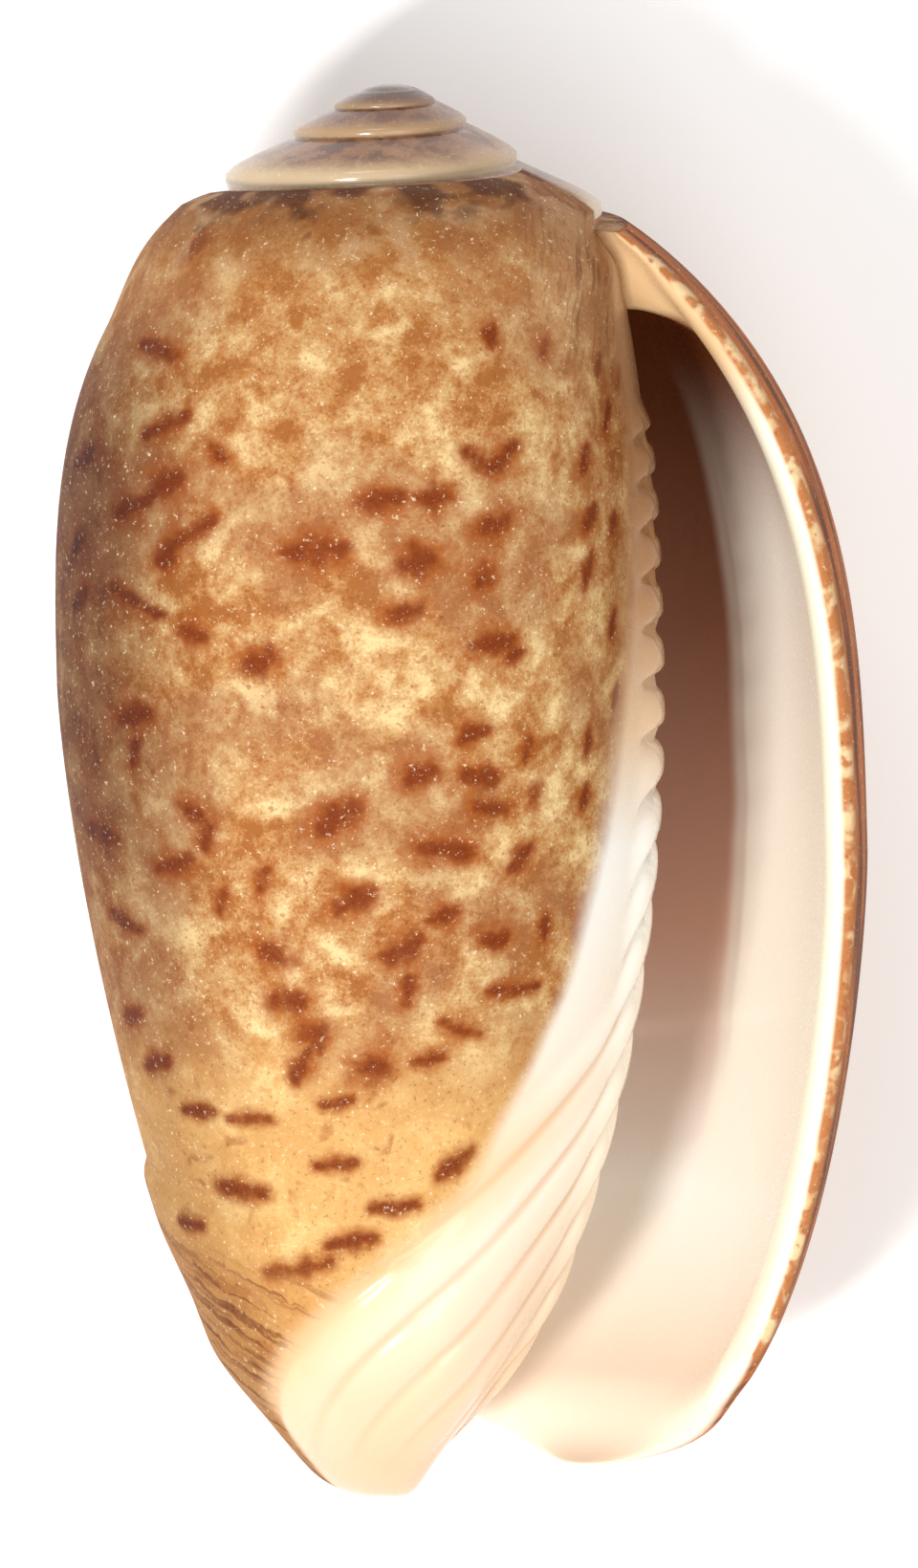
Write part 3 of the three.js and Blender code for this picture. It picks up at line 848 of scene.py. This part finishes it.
# %% How far inside a stroke each point of the shell lies
STROKE_REACH = 3.2
STROKE_TAPER = 0.35
TINY = 1e-12


def stroke_fields(points, ends):
    """1 on a stroke's middle line, 0 at its edge and below 0 outside, in widths."""
    field = np.full(len(points), -STROKE_REACH)
    for first, last, width in ends:
        a, b = np.array(first), np.array(last)
        middle = (a + b) / 2
        close = np.flatnonzero(
            np.linalg.norm(points - middle, axis=1)
            < np.linalg.norm(b - a) / 2 + (1 + STROKE_REACH) * width * MM
        )
        squared = max((b - a) @ (b - a), TINY)
        along_it = np.clip((points[close] - a) @ (b - a) / squared, 0, 1)
        nearest = a + along_it[:, None] * (b - a)
        away = np.linalg.norm(points[close] - nearest, axis=1) / (width * MM)
        taper = 1 - STROKE_TAPER * np.abs(along_it * 2 - 1)
        field[close] = np.maximum(field[close], 1 - away / taper)
    return field


def column_of(mesh, name):
    values = np.empty(len(mesh.vertices))
    mesh.attributes[name].data.foreach_get("value", values)
    return values


def add_strokes(mesh):
    points = np.empty(len(mesh.vertices) * 3)
    mesh.vertices.foreach_get("co", points)
    points = points.reshape(-1, 3)
    tree = BVHTree.FromPolygons(
        [v.co for v in mesh.vertices], [f.vertices for f in mesh.polygons]
    )
    angles, depths = column_of(mesh, "coil_angle"), column_of(mesh, "coil_depth")
    inside = column_of(mesh, "inside")
    ends = front_strokes(tree) + back_strokes(points, angles, depths, BACK_STROKES)
    field = stroke_fields(points, ends)
    field[(inside > 0.5) | (angles < FRONT_START)] = -STROKE_REACH
    mesh.attributes.new("stroke", "FLOAT", "POINT").data.foreach_set("value", field)
    print(len(ends), "strokes on the shell")


add_strokes(shell.data)

# %% [markdown]
# The finish is one material that reads where a point lies on the coil. The pattern lies on the
# outside of the last whorl. Enamel covers the inner lip, the ridges of the pillar's end and the
# lower part of each spire whorl. The inside is brown far in and a pinkish white near its edge.


# %% Helpers for the finish
def srgb(*levels):
    """A colour from levels of 0 to 255, as an image program shows it."""
    shares = [level / 255 for level in levels]
    return tuple(s / 12.92 if s <= 0.04045 else ((s + 0.055) / 1.055) ** 2.4 for s in shares)


def as_colour(value):
    return value if isinstance(value, Wire) else (*value, 1)


def mix(share, a, b, blend="MIX"):
    """Colour a where the share is 0 and b where it is 1."""
    return share.graph.add(
        "ShaderNodeMix",
        {"data_type": "RGBA", "blend_type": blend, "clamp_factor": True},
        {0: share, 6: as_colour(a), 7: as_colour(b)},
        output=2,
    )


def ramp(graph, value, start, end, *stops):
    """A colour for each value between start and end, from pairs of a value and a colour."""
    places = [((at - start) / (end - start), colour) for at, colour in stops]
    share = (value - start) / (end - start)
    return graph.add("ShaderNodeValToRGB", {"stops": places}, {0: share})


def noise(graph, place, scale, detail=2.0, roughness=0.5):
    """Noise with features of about 1 / scale mm."""
    values = {"Vector": place, "Scale": scale, "Detail": detail, "Roughness": roughness}
    return graph.add("ShaderNodeTexNoise", None, values)


def attribute(graph, name):
    return graph.add("ShaderNodeAttribute", {"attribute_name": name}).output("Fac")


# %% Where a point lies
paint = Graph(finish.node_tree)
shader = finish.node_tree.nodes["Principled BSDF"]
object_place = paint.add("ShaderNodeTexCoord").output("Object")
place_mm = paint.add(
    "ShaderNodeVectorMath", {"operation": "SCALE"}, {0: object_place, "Scale": 1 / MM}
)
xyz = paint.add("ShaderNodeSeparateXYZ", None, {0: place_mm})
angle = attribute(paint, "coil_angle")
depth = attribute(paint, "coil_depth")
inside = attribute(paint, "inside")
band = attribute(paint, "band")
ridge = attribute(paint, "ridge")
stroke = attribute(paint, "stroke")

height = xyz.output("Z") - REST_HEIGHT
radius = (xyz.output("X") * xyz.output("X") + height * height) ** 0.5
lip_mm = (LIP_ANGLE - angle) * math.radians(1) * radius
coil_start = SIZES["Coil start"]
suture = (SIZES["Suture depth"] + coil_start) * SIZES["Whorl ratio"] ** (angle / 360) - coil_start
below_suture = depth - suture
BEND = (1.6, 1.6, 1.6)
bend = noise(paint, place_mm, scale=0.6, detail=1.0).output("Color")
bent = paint.add(
    "ShaderNodeVectorMath", {"operation": "MULTIPLY_ADD"}, {0: bend, 1: BEND, 2: place_mm}
)
LINE_STRETCH = 0.12


def lines(across_mm, along_mm, scale):
    """Fine lines: noise that changes across them and hardly along them."""
    stretched = {0: across_mm, 1: along_mm * LINE_STRETCH, 2: 0}
    return noise(paint, paint.add("ShaderNodeCombineXYZ", None, stretched), scale, detail=1.0)


# %% [markdown]
# The ground of the pattern is noise of several sizes, added up and sent through a colour ramp:
# cream patches in a net of tan, and no edge repeats. Each later colour is a layer over it.


# %% A layer of colour
def layer(below, colour, share, strength=1.0, blend="MIX"):
    """One colour over another, where the share is 1."""
    return mix(share * strength, below, colour, blend)


def report(made):
    print(made, "-", len(finish.node_tree.nodes), "nodes so far")


# %% Noise of several sizes
veils = noise(paint, place_mm, scale=0.2, detail=1.0, roughness=0.5)
patches = noise(paint, bent, scale=0.62, detail=1.0, roughness=0.4)
smudges = noise(paint, bent, scale=0.95, detail=2.0, roughness=0.5)
flecks = noise(paint, place_mm, scale=2.3, detail=3.0, roughness=0.6)
dust = noise(paint, place_mm, scale=5.0, detail=3.0, roughness=0.8)
grain = noise(paint, place_mm, scale=9.0, detail=1.0, roughness=0.6)
report("noise")

# %% The ground of the pattern
CREAM = srgb(246, 220, 166)
PALE = srgb(214, 174, 120)
TAN = srgb(196, 140, 84)
OCHRE = srgb(172, 108, 52)
MAUVE = srgb(172, 124, 92)
BROWN = srgb(124, 48, 2)
HALO = srgb(168, 86, 20)
YELLOW = srgb(252, 206, 132)
UPPER_TAN = srgb(184, 126, 68)
GROUND_STOPS = ((0.35, OCHRE), (0.45, TAN), (0.56, PALE), (0.7, CREAM))
VEIL_EDGE = (0.45, 0.62)
FLECK_EDGE = (0.6, 0.7)
YELLOW_DEPTHS = (31, 37)
UPPER_DEPTHS = (6, 12)

tone = 0.5 + (patches - 0.5) * 0.65 + (smudges - 0.5) * 0.5
tone = tone + (flecks - 0.5) * 0.45 + (grain - 0.5) * 0.25
pattern = ramp(paint, tone, 0, 1, *GROUND_STOPS)
pattern = layer(pattern, MAUVE, ease(*VEIL_EDGE, veils), strength=0.4)
pattern = layer(pattern, HALO, ease(*FLECK_EDGE, flecks), strength=0.6)
pattern = layer(pattern, YELLOW, ease(*YELLOW_DEPTHS, depth), strength=0.6)
pattern = layer(pattern, UPPER_TAN, 1 - ease(*UPPER_DEPTHS, depth), strength=0.2)
report("ground")

# %% [markdown]
# A stroke has a dark core and a wide halo, both read from the same field. Noise added to the
# field frays their edges.

# %% The strokes
HALO_REACH = (-2.9, 0.4)
CORE_REACH = (-0.9, 0.9)
SPOT_EDGE = (0.58, 0.7)
SPOT_PATCHES = (0.62, 0.44)
WOBBLE = 3.4

frayed = stroke + (noise(paint, place_mm, scale=1.4, detail=3.0, roughness=0.6) - 0.5) * WOBBLE
spots = ease(*SPOT_EDGE, smudges) * ease(*SPOT_PATCHES, patches)
pattern = layer(pattern, HALO, spots, strength=0.55)
pattern = layer(pattern, HALO, ease(*HALO_REACH, frayed), strength=0.85)
pattern = layer(pattern, BROWN, ease(*CORE_REACH, frayed), strength=0.85 + 0.6 * (grain - 0.5))
report("strokes")

# %% [markdown]
# Growth lines show where the shell's edge once was: round the coil above the tip, and down
# the shoulder.

# %% Growth lines
LOWER_SLOPE = 0.062
LOWER_ZONE = (39.6, 41)
LOWER_LINE_EDGE = (0.48, 0.64)
LOWER_GROUND = srgb(214, 156, 90)
LOWER_BROWN = srgb(132, 62, 14)
SHOULDER_ANGLES = (-318, -296)
SHOULDER_DEPTHS = (4.5, 9)
SHOULDER_LINE_EDGE = (0.5, 0.62)
SHOULDER_GROUND = srgb(190, 150, 116)
SHOULDER_BROWN = srgb(108, 60, 24)

from_left = angle - LEFT_ANGLE
lower_level = depth + from_left * LOWER_SLOPE + (smudges - 0.5) * 0.8
lower_zone = ease(*LOWER_ZONE, depth + from_left * LEDGE_SLOPE)
lower_share = ease(*LOWER_LINE_EDGE, lines(lower_level, depth, 3.0)) * lower_zone
pattern = layer(pattern, LOWER_GROUND, lower_zone, strength=0.7)
pattern = layer(pattern, LOWER_BROWN, lower_share, strength=0.6 + 0.8 * (smudges - 0.4))

shoulder_level = angle * 0.14 - depth * 0.5 + (smudges - 0.5) * 0.6
shoulder_zone = 1 - ease(*SHOULDER_ANGLES, angle)
shoulder_zone = shoulder_zone * (1 - ease(*SHOULDER_DEPTHS, below_suture))
shoulder_share = ease(*SHOULDER_LINE_EDGE, lines(shoulder_level, depth, 3.4)) * shoulder_zone
pattern = layer(pattern, SHOULDER_GROUND, shoulder_zone, strength=0.5)
pattern = layer(pattern, SHOULDER_BROWN, shoulder_share, strength=0.45)
report("growth lines")

# %% Darker sides of the last whorl: on the left a darker pattern and painted shade, on the right a milder darkening
LEFT_ANGLES = (-240, -200)
LEFT_END_ANGLES = (-150, -120)
LEFT_TOP = (5, 12)
LEFT_FOOT = (22, 32)
RIGHT_ANGLES = (-310, -332)
# The left colour is partly a darker pattern and partly painted shade where the light falls off
# towards the silhouette.
LEFT_PATTERN_AND_PAINTED_SHADE = srgb(118, 80, 54)
RIGHT_SHADE = srgb(200, 170, 140)

# Painted shade on the left side, mixed with a darker pattern, strongest towards the silhouette.
left_pattern_and_painted_shade_zone = ease(*LEFT_ANGLES, angle) * (1 - ease(*LEFT_END_ANGLES, angle))
left_pattern_and_painted_shade_zone = left_pattern_and_painted_shade_zone * ease(*LEFT_TOP, depth) * (1 - ease(*LEFT_FOOT, depth) * 0.5)
left_pattern_and_painted_shade_share = left_pattern_and_painted_shade_zone * (0.85 + 0.5 * (smudges - 0.5))
pattern = layer(pattern, LEFT_PATTERN_AND_PAINTED_SHADE, left_pattern_and_painted_shade_share, blend="MULTIPLY")
right_side = ease(*RIGHT_ANGLES, angle)
pattern = layer(pattern, RIGHT_SHADE, right_side, strength=0.5, blend="MULTIPLY")
report("sides")

# %% Dark arches under the suture
ARCH_EDGE = (0.36, 0.54)
SUTURE_ZONE = (0.8, 4)
PALE_SPOT_EDGE = (0.5, 0.62)
PALE_SPOT_DEPTHS = (1.6, 3.2)
SUTURE_GROUND = srgb(136, 86, 46)
PALE_SPOT = srgb(190, 150, 114)
ARCH_BROWN = srgb(88, 42, 12)

arches = ease(*ARCH_EDGE, noise(paint, place_mm, scale=0.62, detail=1.0, roughness=0.4))
arch_reach = 0.5 + 2.4 * (smudges - 0.35).math("MAXIMUM", 0)
arch_share = arches * (1 - ease(arch_reach * 0.4, arch_reach * 1.5, below_suture))
pale_spots = ease(*PALE_SPOT_EDGE, patches) * (1 - ease(*PALE_SPOT_DEPTHS, below_suture))
pattern = layer(pattern, SUTURE_GROUND, 1 - ease(*SUTURE_ZONE, below_suture), strength=0.6)
pattern = layer(pattern, PALE_SPOT, pale_spots, strength=0.6)
pattern = layer(pattern, ARCH_BROWN, arch_share, strength=0.9)
report("arches")

# %% The outer lip seen from outside, a film and dark specks all over, and pale specks that are painted glints
LIP_BAND_ANGLES = (-25, 5)
LIP_STREAK_EDGE = (0.4, 0.62)
RIM_BLOTCH_EDGE = (0.38, 0.54)
RIM_WIDTH = (0.1, 0.75)
LIP_ORANGE = srgb(188, 104, 42)
LIP_BROWN = srgb(92, 38, 6)
RIM_CREAM = srgb(255, 226, 180)
RIM_ORANGE = srgb(196, 110, 44)
FILM = srgb(232, 222, 208)
# The pale speck colour is a painted glint: tiny highlights of a glossy surface, painted as specks.
PAINTED_GLINT = srgb(255, 240, 205)
DARK_SPECK = srgb(116, 56, 16)
PAINTED_GLINT_EDGE = (0.6, 0.72)
DARK_SPECK_EDGE = (0.43, 0.31)

lip_streaks = ease(*LIP_STREAK_EDGE, lines(lip_mm, depth, 1.2) + (dust - 0.5) * 0.2)
lip_colour = mix(lip_streaks, LIP_ORANGE, LIP_BROWN)
pattern = layer(pattern, lip_colour, ease(*LIP_BAND_ANGLES, angle), strength=0.9)
rim_colour = layer(RIM_CREAM, RIM_ORANGE, ease(*RIM_BLOTCH_EDGE, smudges), strength=0.85)
pattern = layer(pattern, rim_colour, 1 - ease(*RIM_WIDTH, lip_mm))
pattern = layer(pattern, FILM, 0.85 + 0.4 * (veils - 0.5), blend="MULTIPLY")
# Pale specks are painted glints, tiny painted highlights.
painted_glint_share = ease(*PAINTED_GLINT_EDGE, dust) * 0.6
pattern = layer(pattern, PAINTED_GLINT, painted_glint_share)
pattern = layer(pattern, DARK_SPECK, ease(*DARK_SPECK_EDGE, dust), strength=0.5)
report("pattern")

# %% [markdown]
# Enamel lies over the pattern on the inner lip and the pillar's end. Its edge swings down from
# the aperture's corner, soft above and sharp below. It covers the foot of each spire whorl too.

# %% Enamel on the inner lip and the pillar's end
CALLUS_STOPS = (
    (5, srgb(196, 168, 136)), (14, srgb(168, 120, 76)), (18, srgb(184, 134, 88)),
    (23, srgb(238, 206, 172)), (27, srgb(255, 255, 252)), (38, srgb(253, 240, 220)),
    (46, srgb(240, 204, 168)), (50, srgb(230, 186, 150)),
)
GROOVE_TAN = srgb(232, 184, 146)
RIM_TAN = srgb(240, 194, 142)
EDGE_LOWEST = 32.6
EDGE_RISE = 25
EDGE_TURN = 17
SOFT_DEPTHS = (14, 31)
CALLUS_END_ANGLES = (-205, -195)
GROOVE_EDGE = (0.05, -0.08)
GROOVE_DEPTHS = (28, 33)
RIM_TAN_WIDTH = (0.4, 2.6)
RIM_TAN_TOP = 32.2
RIM_TAN_DEPTHS = (33, 39)

start_depth = depth - (angle - RIDGE_EDGE_ANGLE) * SIZES["Ridge slope"]
rise = EDGE_RISE * (-(angle - FRONT_START) / EDGE_TURN).math("EXPONENT")
softness = 8 - 7.2 * ease(*SOFT_DEPTHS, start_depth)
from_edge = (start_depth - (EDGE_LOWEST - rise) + (veils - 0.5) * 2) / softness
callus_share = ease(-1, 1, from_edge) * (1 - ease(*CALLUS_END_ANGLES, angle))
callus = ramp(paint, depth, 0, 50, *CALLUS_STOPS)
in_groove = ease(*GROOVE_EDGE, ridge) * ease(*GROOVE_DEPTHS, depth)
callus = layer(callus, GROOVE_TAN, in_groove, strength=0.5 + 0.8 * (veils - 0.4))
at_rim = 1 - ease(*RIM_TAN_WIDTH, start_depth - RIM_TAN_TOP)
callus = layer(callus, RIM_TAN, at_rim * ease(*RIM_TAN_DEPTHS, depth), strength=0.75)
outer_colour = mix(callus_share, pattern, callus)
report("inner lip")

# %% The spire
LAST_SUTURE = (4.9, 5.3)
WHORL_TOP_EDGE = (0.1, 0.7)
BLOTCH_EDGE = (0.42, 0.58)
ENAMEL_EDGE = (0.34, 0.74)
ENAMEL_DEPTHS = (2.1, 3)
APEX_GROUND_DEPTHS = (0.5, 2)
APEX_DEPTHS = (0.15, 0.7)
APEX_GROUND = srgb(128, 86, 58)
SPIRE_GROUND = srgb(168, 126, 86)
WHORL_TOP = srgb(128, 74, 32)
BLOTCH = srgb(84, 36, 6)
SPIRE_ENAMEL = srgb(204, 180, 146)
APEX_BROWN = srgb(84, 54, 40)

above_last = 1 - ease(FRONT_START - 1, FRONT_START + 1, angle)
above_last = above_last * (1 - ease(*LAST_SUTURE, depth))
whorl_top = 1 - ease(*WHORL_TOP_EDGE, band + (patches - 0.5) * 0.7)
blotches = ease(*BLOTCH_EDGE, noise(paint, place_mm, scale=1.3, detail=3.0, roughness=0.6))
enamel_share = ease(*ENAMEL_EDGE, band + (dust - 0.5) * 0.3)
enamel_share = enamel_share * (0.35 + 0.6 * ease(*ENAMEL_DEPTHS, depth))
spire_colour = mix(ease(*APEX_GROUND_DEPTHS, depth), APEX_GROUND, SPIRE_GROUND)
spire_colour = layer(spire_colour, WHORL_TOP, whorl_top, strength=0.8)
spire_colour = layer(spire_colour, BLOTCH, whorl_top * blotches, strength=0.85)
spire_colour = layer(spire_colour, SPIRE_ENAMEL, enamel_share)
spire_colour = layer(spire_colour, APEX_BROWN, 1 - ease(*APEX_DEPTHS, depth))
# Painted glints on the spire as well.
spire_colour = layer(spire_colour, PAINTED_GLINT, painted_glint_share, strength=0.4)
outer_colour = mix(above_last, outer_colour, spire_colour)
report("spire")

# %% [markdown]
# The inside is dark brown at the top and pinkish white near the flange. A fine line runs down
# it, and a paler strip between the line and the lip is painted light, the lit side of a shadow's
# edge.

# %% The inside
LINING_STOPS = (
    (6, srgb(112, 46, 12)), (12, srgb(126, 70, 40)), (20, srgb(174, 120, 94)),
    (31, srgb(228, 186, 164)), (40, srgb(255, 250, 240)), (46, srgb(251, 229, 206)),
)
# The strip's colour is painted light: it brightens the lit side of a cast shadow's soft edge.
PAINTED_LIGHT_STRIP = srgb(255, 246, 230)
PAINTED_LIGHT_TOP = (10, 18)
PAINTED_LIGHT_FOOT = (37, 44)
FINE_LINE = srgb(160, 116, 92)
FINE_LINE_TOP = (12, 16)
FINE_LINE_FOOT = (30, 38)
BEVEL_WIDTH = (1.6, 2.6)
BEVEL_DEPTHS = (9, 13)
BEVEL_TAN = srgb(232, 196, 148)
BEVEL_WHITE = srgb(255, 252, 228)
CORNER_DEPTHS = (8, 8.6)
PILLAR_ANGLES = (-385, -352)
PILLAR_DEPTHS = (7.8, 8.6)

lining = ramp(paint, depth, 0, 50, *LINING_STOPS)
line_angle = -31 + (veils - 0.5) * 2
# Painted light: a paler strip between the fine line and the lip, with a soft edge where a cast
# shadow ends.
painted_light_near_lip = ease(line_angle - 4, line_angle, angle) * ease(*PAINTED_LIGHT_TOP, depth)
lining = layer(lining, PAINTED_LIGHT_STRIP, painted_light_near_lip * (1 - ease(*PAINTED_LIGHT_FOOT, depth)))
fine_line = ease(line_angle - 2, line_angle, angle) * (1 - ease(0, 1.5, angle - line_angle))
fine_line = fine_line * ease(*FINE_LINE_TOP, depth) * (1 - ease(*FINE_LINE_FOOT, depth))
lining = layer(lining, FINE_LINE, fine_line, strength=0.25)
bevel_colour = mix(ease(*BEVEL_DEPTHS, depth), BEVEL_TAN, BEVEL_WHITE)
lining = layer(lining, bevel_colour, 1 - ease(*BEVEL_WIDTH, lip_mm))
lining = layer(lining, bevel_colour, inside * (1 - ease(*CORNER_DEPTHS, depth)))
pillar_inside = (1 - ease(*PILLAR_ANGLES, angle)) * ease(*PILLAR_DEPTHS, depth)
lining_share = inside.math("MAXIMUM", pillar_inside * (1 - above_last))
colour = mix(lining_share, outer_colour, lining)
report("inside")

# %% [markdown]
# The pattern is dull, and enamel and the inside are smooth. A clear coat gives the enamel its
# sharp highlights.

# %% Surface
enamel = callus_share.math("MAXIMUM", above_last * enamel_share) * (1 - lining_share)
glossy = enamel.math("MAXIMUM", lining_share)
shader.inputs["Specular IOR Level"].default_value = 0.16
shader.inputs["Coat Roughness"].default_value = 0.12
paint.feed(shader.inputs["Base Color"], colour)
paint.feed(shader.inputs["Roughness"], 0.72 - 0.46 * glossy + (grain - 0.5) * 0.1)
paint.feed(shader.inputs["Coat Weight"], enamel * 0.4)
bump = paint.add(
    "ShaderNodeBump", None, {"Height": grain, "Strength": 0.12, "Distance": 0.00004}
)
paint.feed(shader.inputs["Normal"], bump)
report("finish")

# %% [markdown]
# The floor is a plain pale sheet. A narrow lamp at the left draws the form, a large one in front
# fills the shadows, and a low one beyond the spire lights its ledges.

# %% Floor
FLOOR_HALF = 1.5
corners = [(-1, -1, 0), (1, -1, 0), (1, 1, 0), (-1, 1, 0)]
floor_mesh = bpy.data.meshes.new("floor")
floor_mesh.from_pydata([Vector(c) * FLOOR_HALF for c in corners], [], [(0, 1, 2, 3)])
floor = bpy.data.objects.new("floor", floor_mesh)
bpy.context.scene.collection.objects.link(floor)
pale = bpy.data.materials.new("pale floor")
pale.use_nodes = True
pale_shader = pale.node_tree.nodes["Principled BSDF"]
pale_shader.inputs["Base Color"].default_value = (0.96, 0.96, 0.96, 1)
pale_shader.inputs["Roughness"].default_value = 0.8
pale_shader.inputs["Emission Color"].default_value = (1, 1, 1, 1)
pale_shader.inputs["Emission Strength"].default_value = 0.12
floor_mesh.materials.append(pale)
print("the floor is", 2 * FLOOR_HALF, "m wide")


# %% Light
def lamp(name, place, width, height, power):
    """A soft lamp that looks at the shell."""
    light = bpy.data.lights.new(name, "AREA")
    light.shape = "RECTANGLE"
    light.size = width
    light.size_y = height
    light.energy = power
    made = bpy.data.objects.new(name, light)
    bpy.context.scene.collection.objects.link(made)
    made.location = place
    aim_at = Vector((0, 0, 0.013)) - Vector(place)
    made.rotation_euler = aim_at.to_track_quat("-Z", "Y").to_euler()


lamp("left lamp", (-0.27, -0.2, 0.6), width=0.06, height=0.2, power=3.2)
lamp("front lamp", (0.28, -0.3, 0.85), width=0.5, height=0.5, power=2.8)
lamp("spire lamp", (-0.1, 0.5, 0.4), width=0.25, height=0.03, power=0.6)
world = bpy.data.worlds.new("studio")
world.use_nodes = True
world.node_tree.nodes["Background"].inputs["Color"].default_value = (1, 1, 1, 1)
world.node_tree.nodes["Background"].inputs["Strength"].default_value = 0.54
bpy.context.scene.world = world
bpy.context.scene.view_settings.view_transform = "Standard"
print(len(bpy.data.lights), "lamps and a pale world")

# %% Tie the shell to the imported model
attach(shell, "root")
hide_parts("shell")
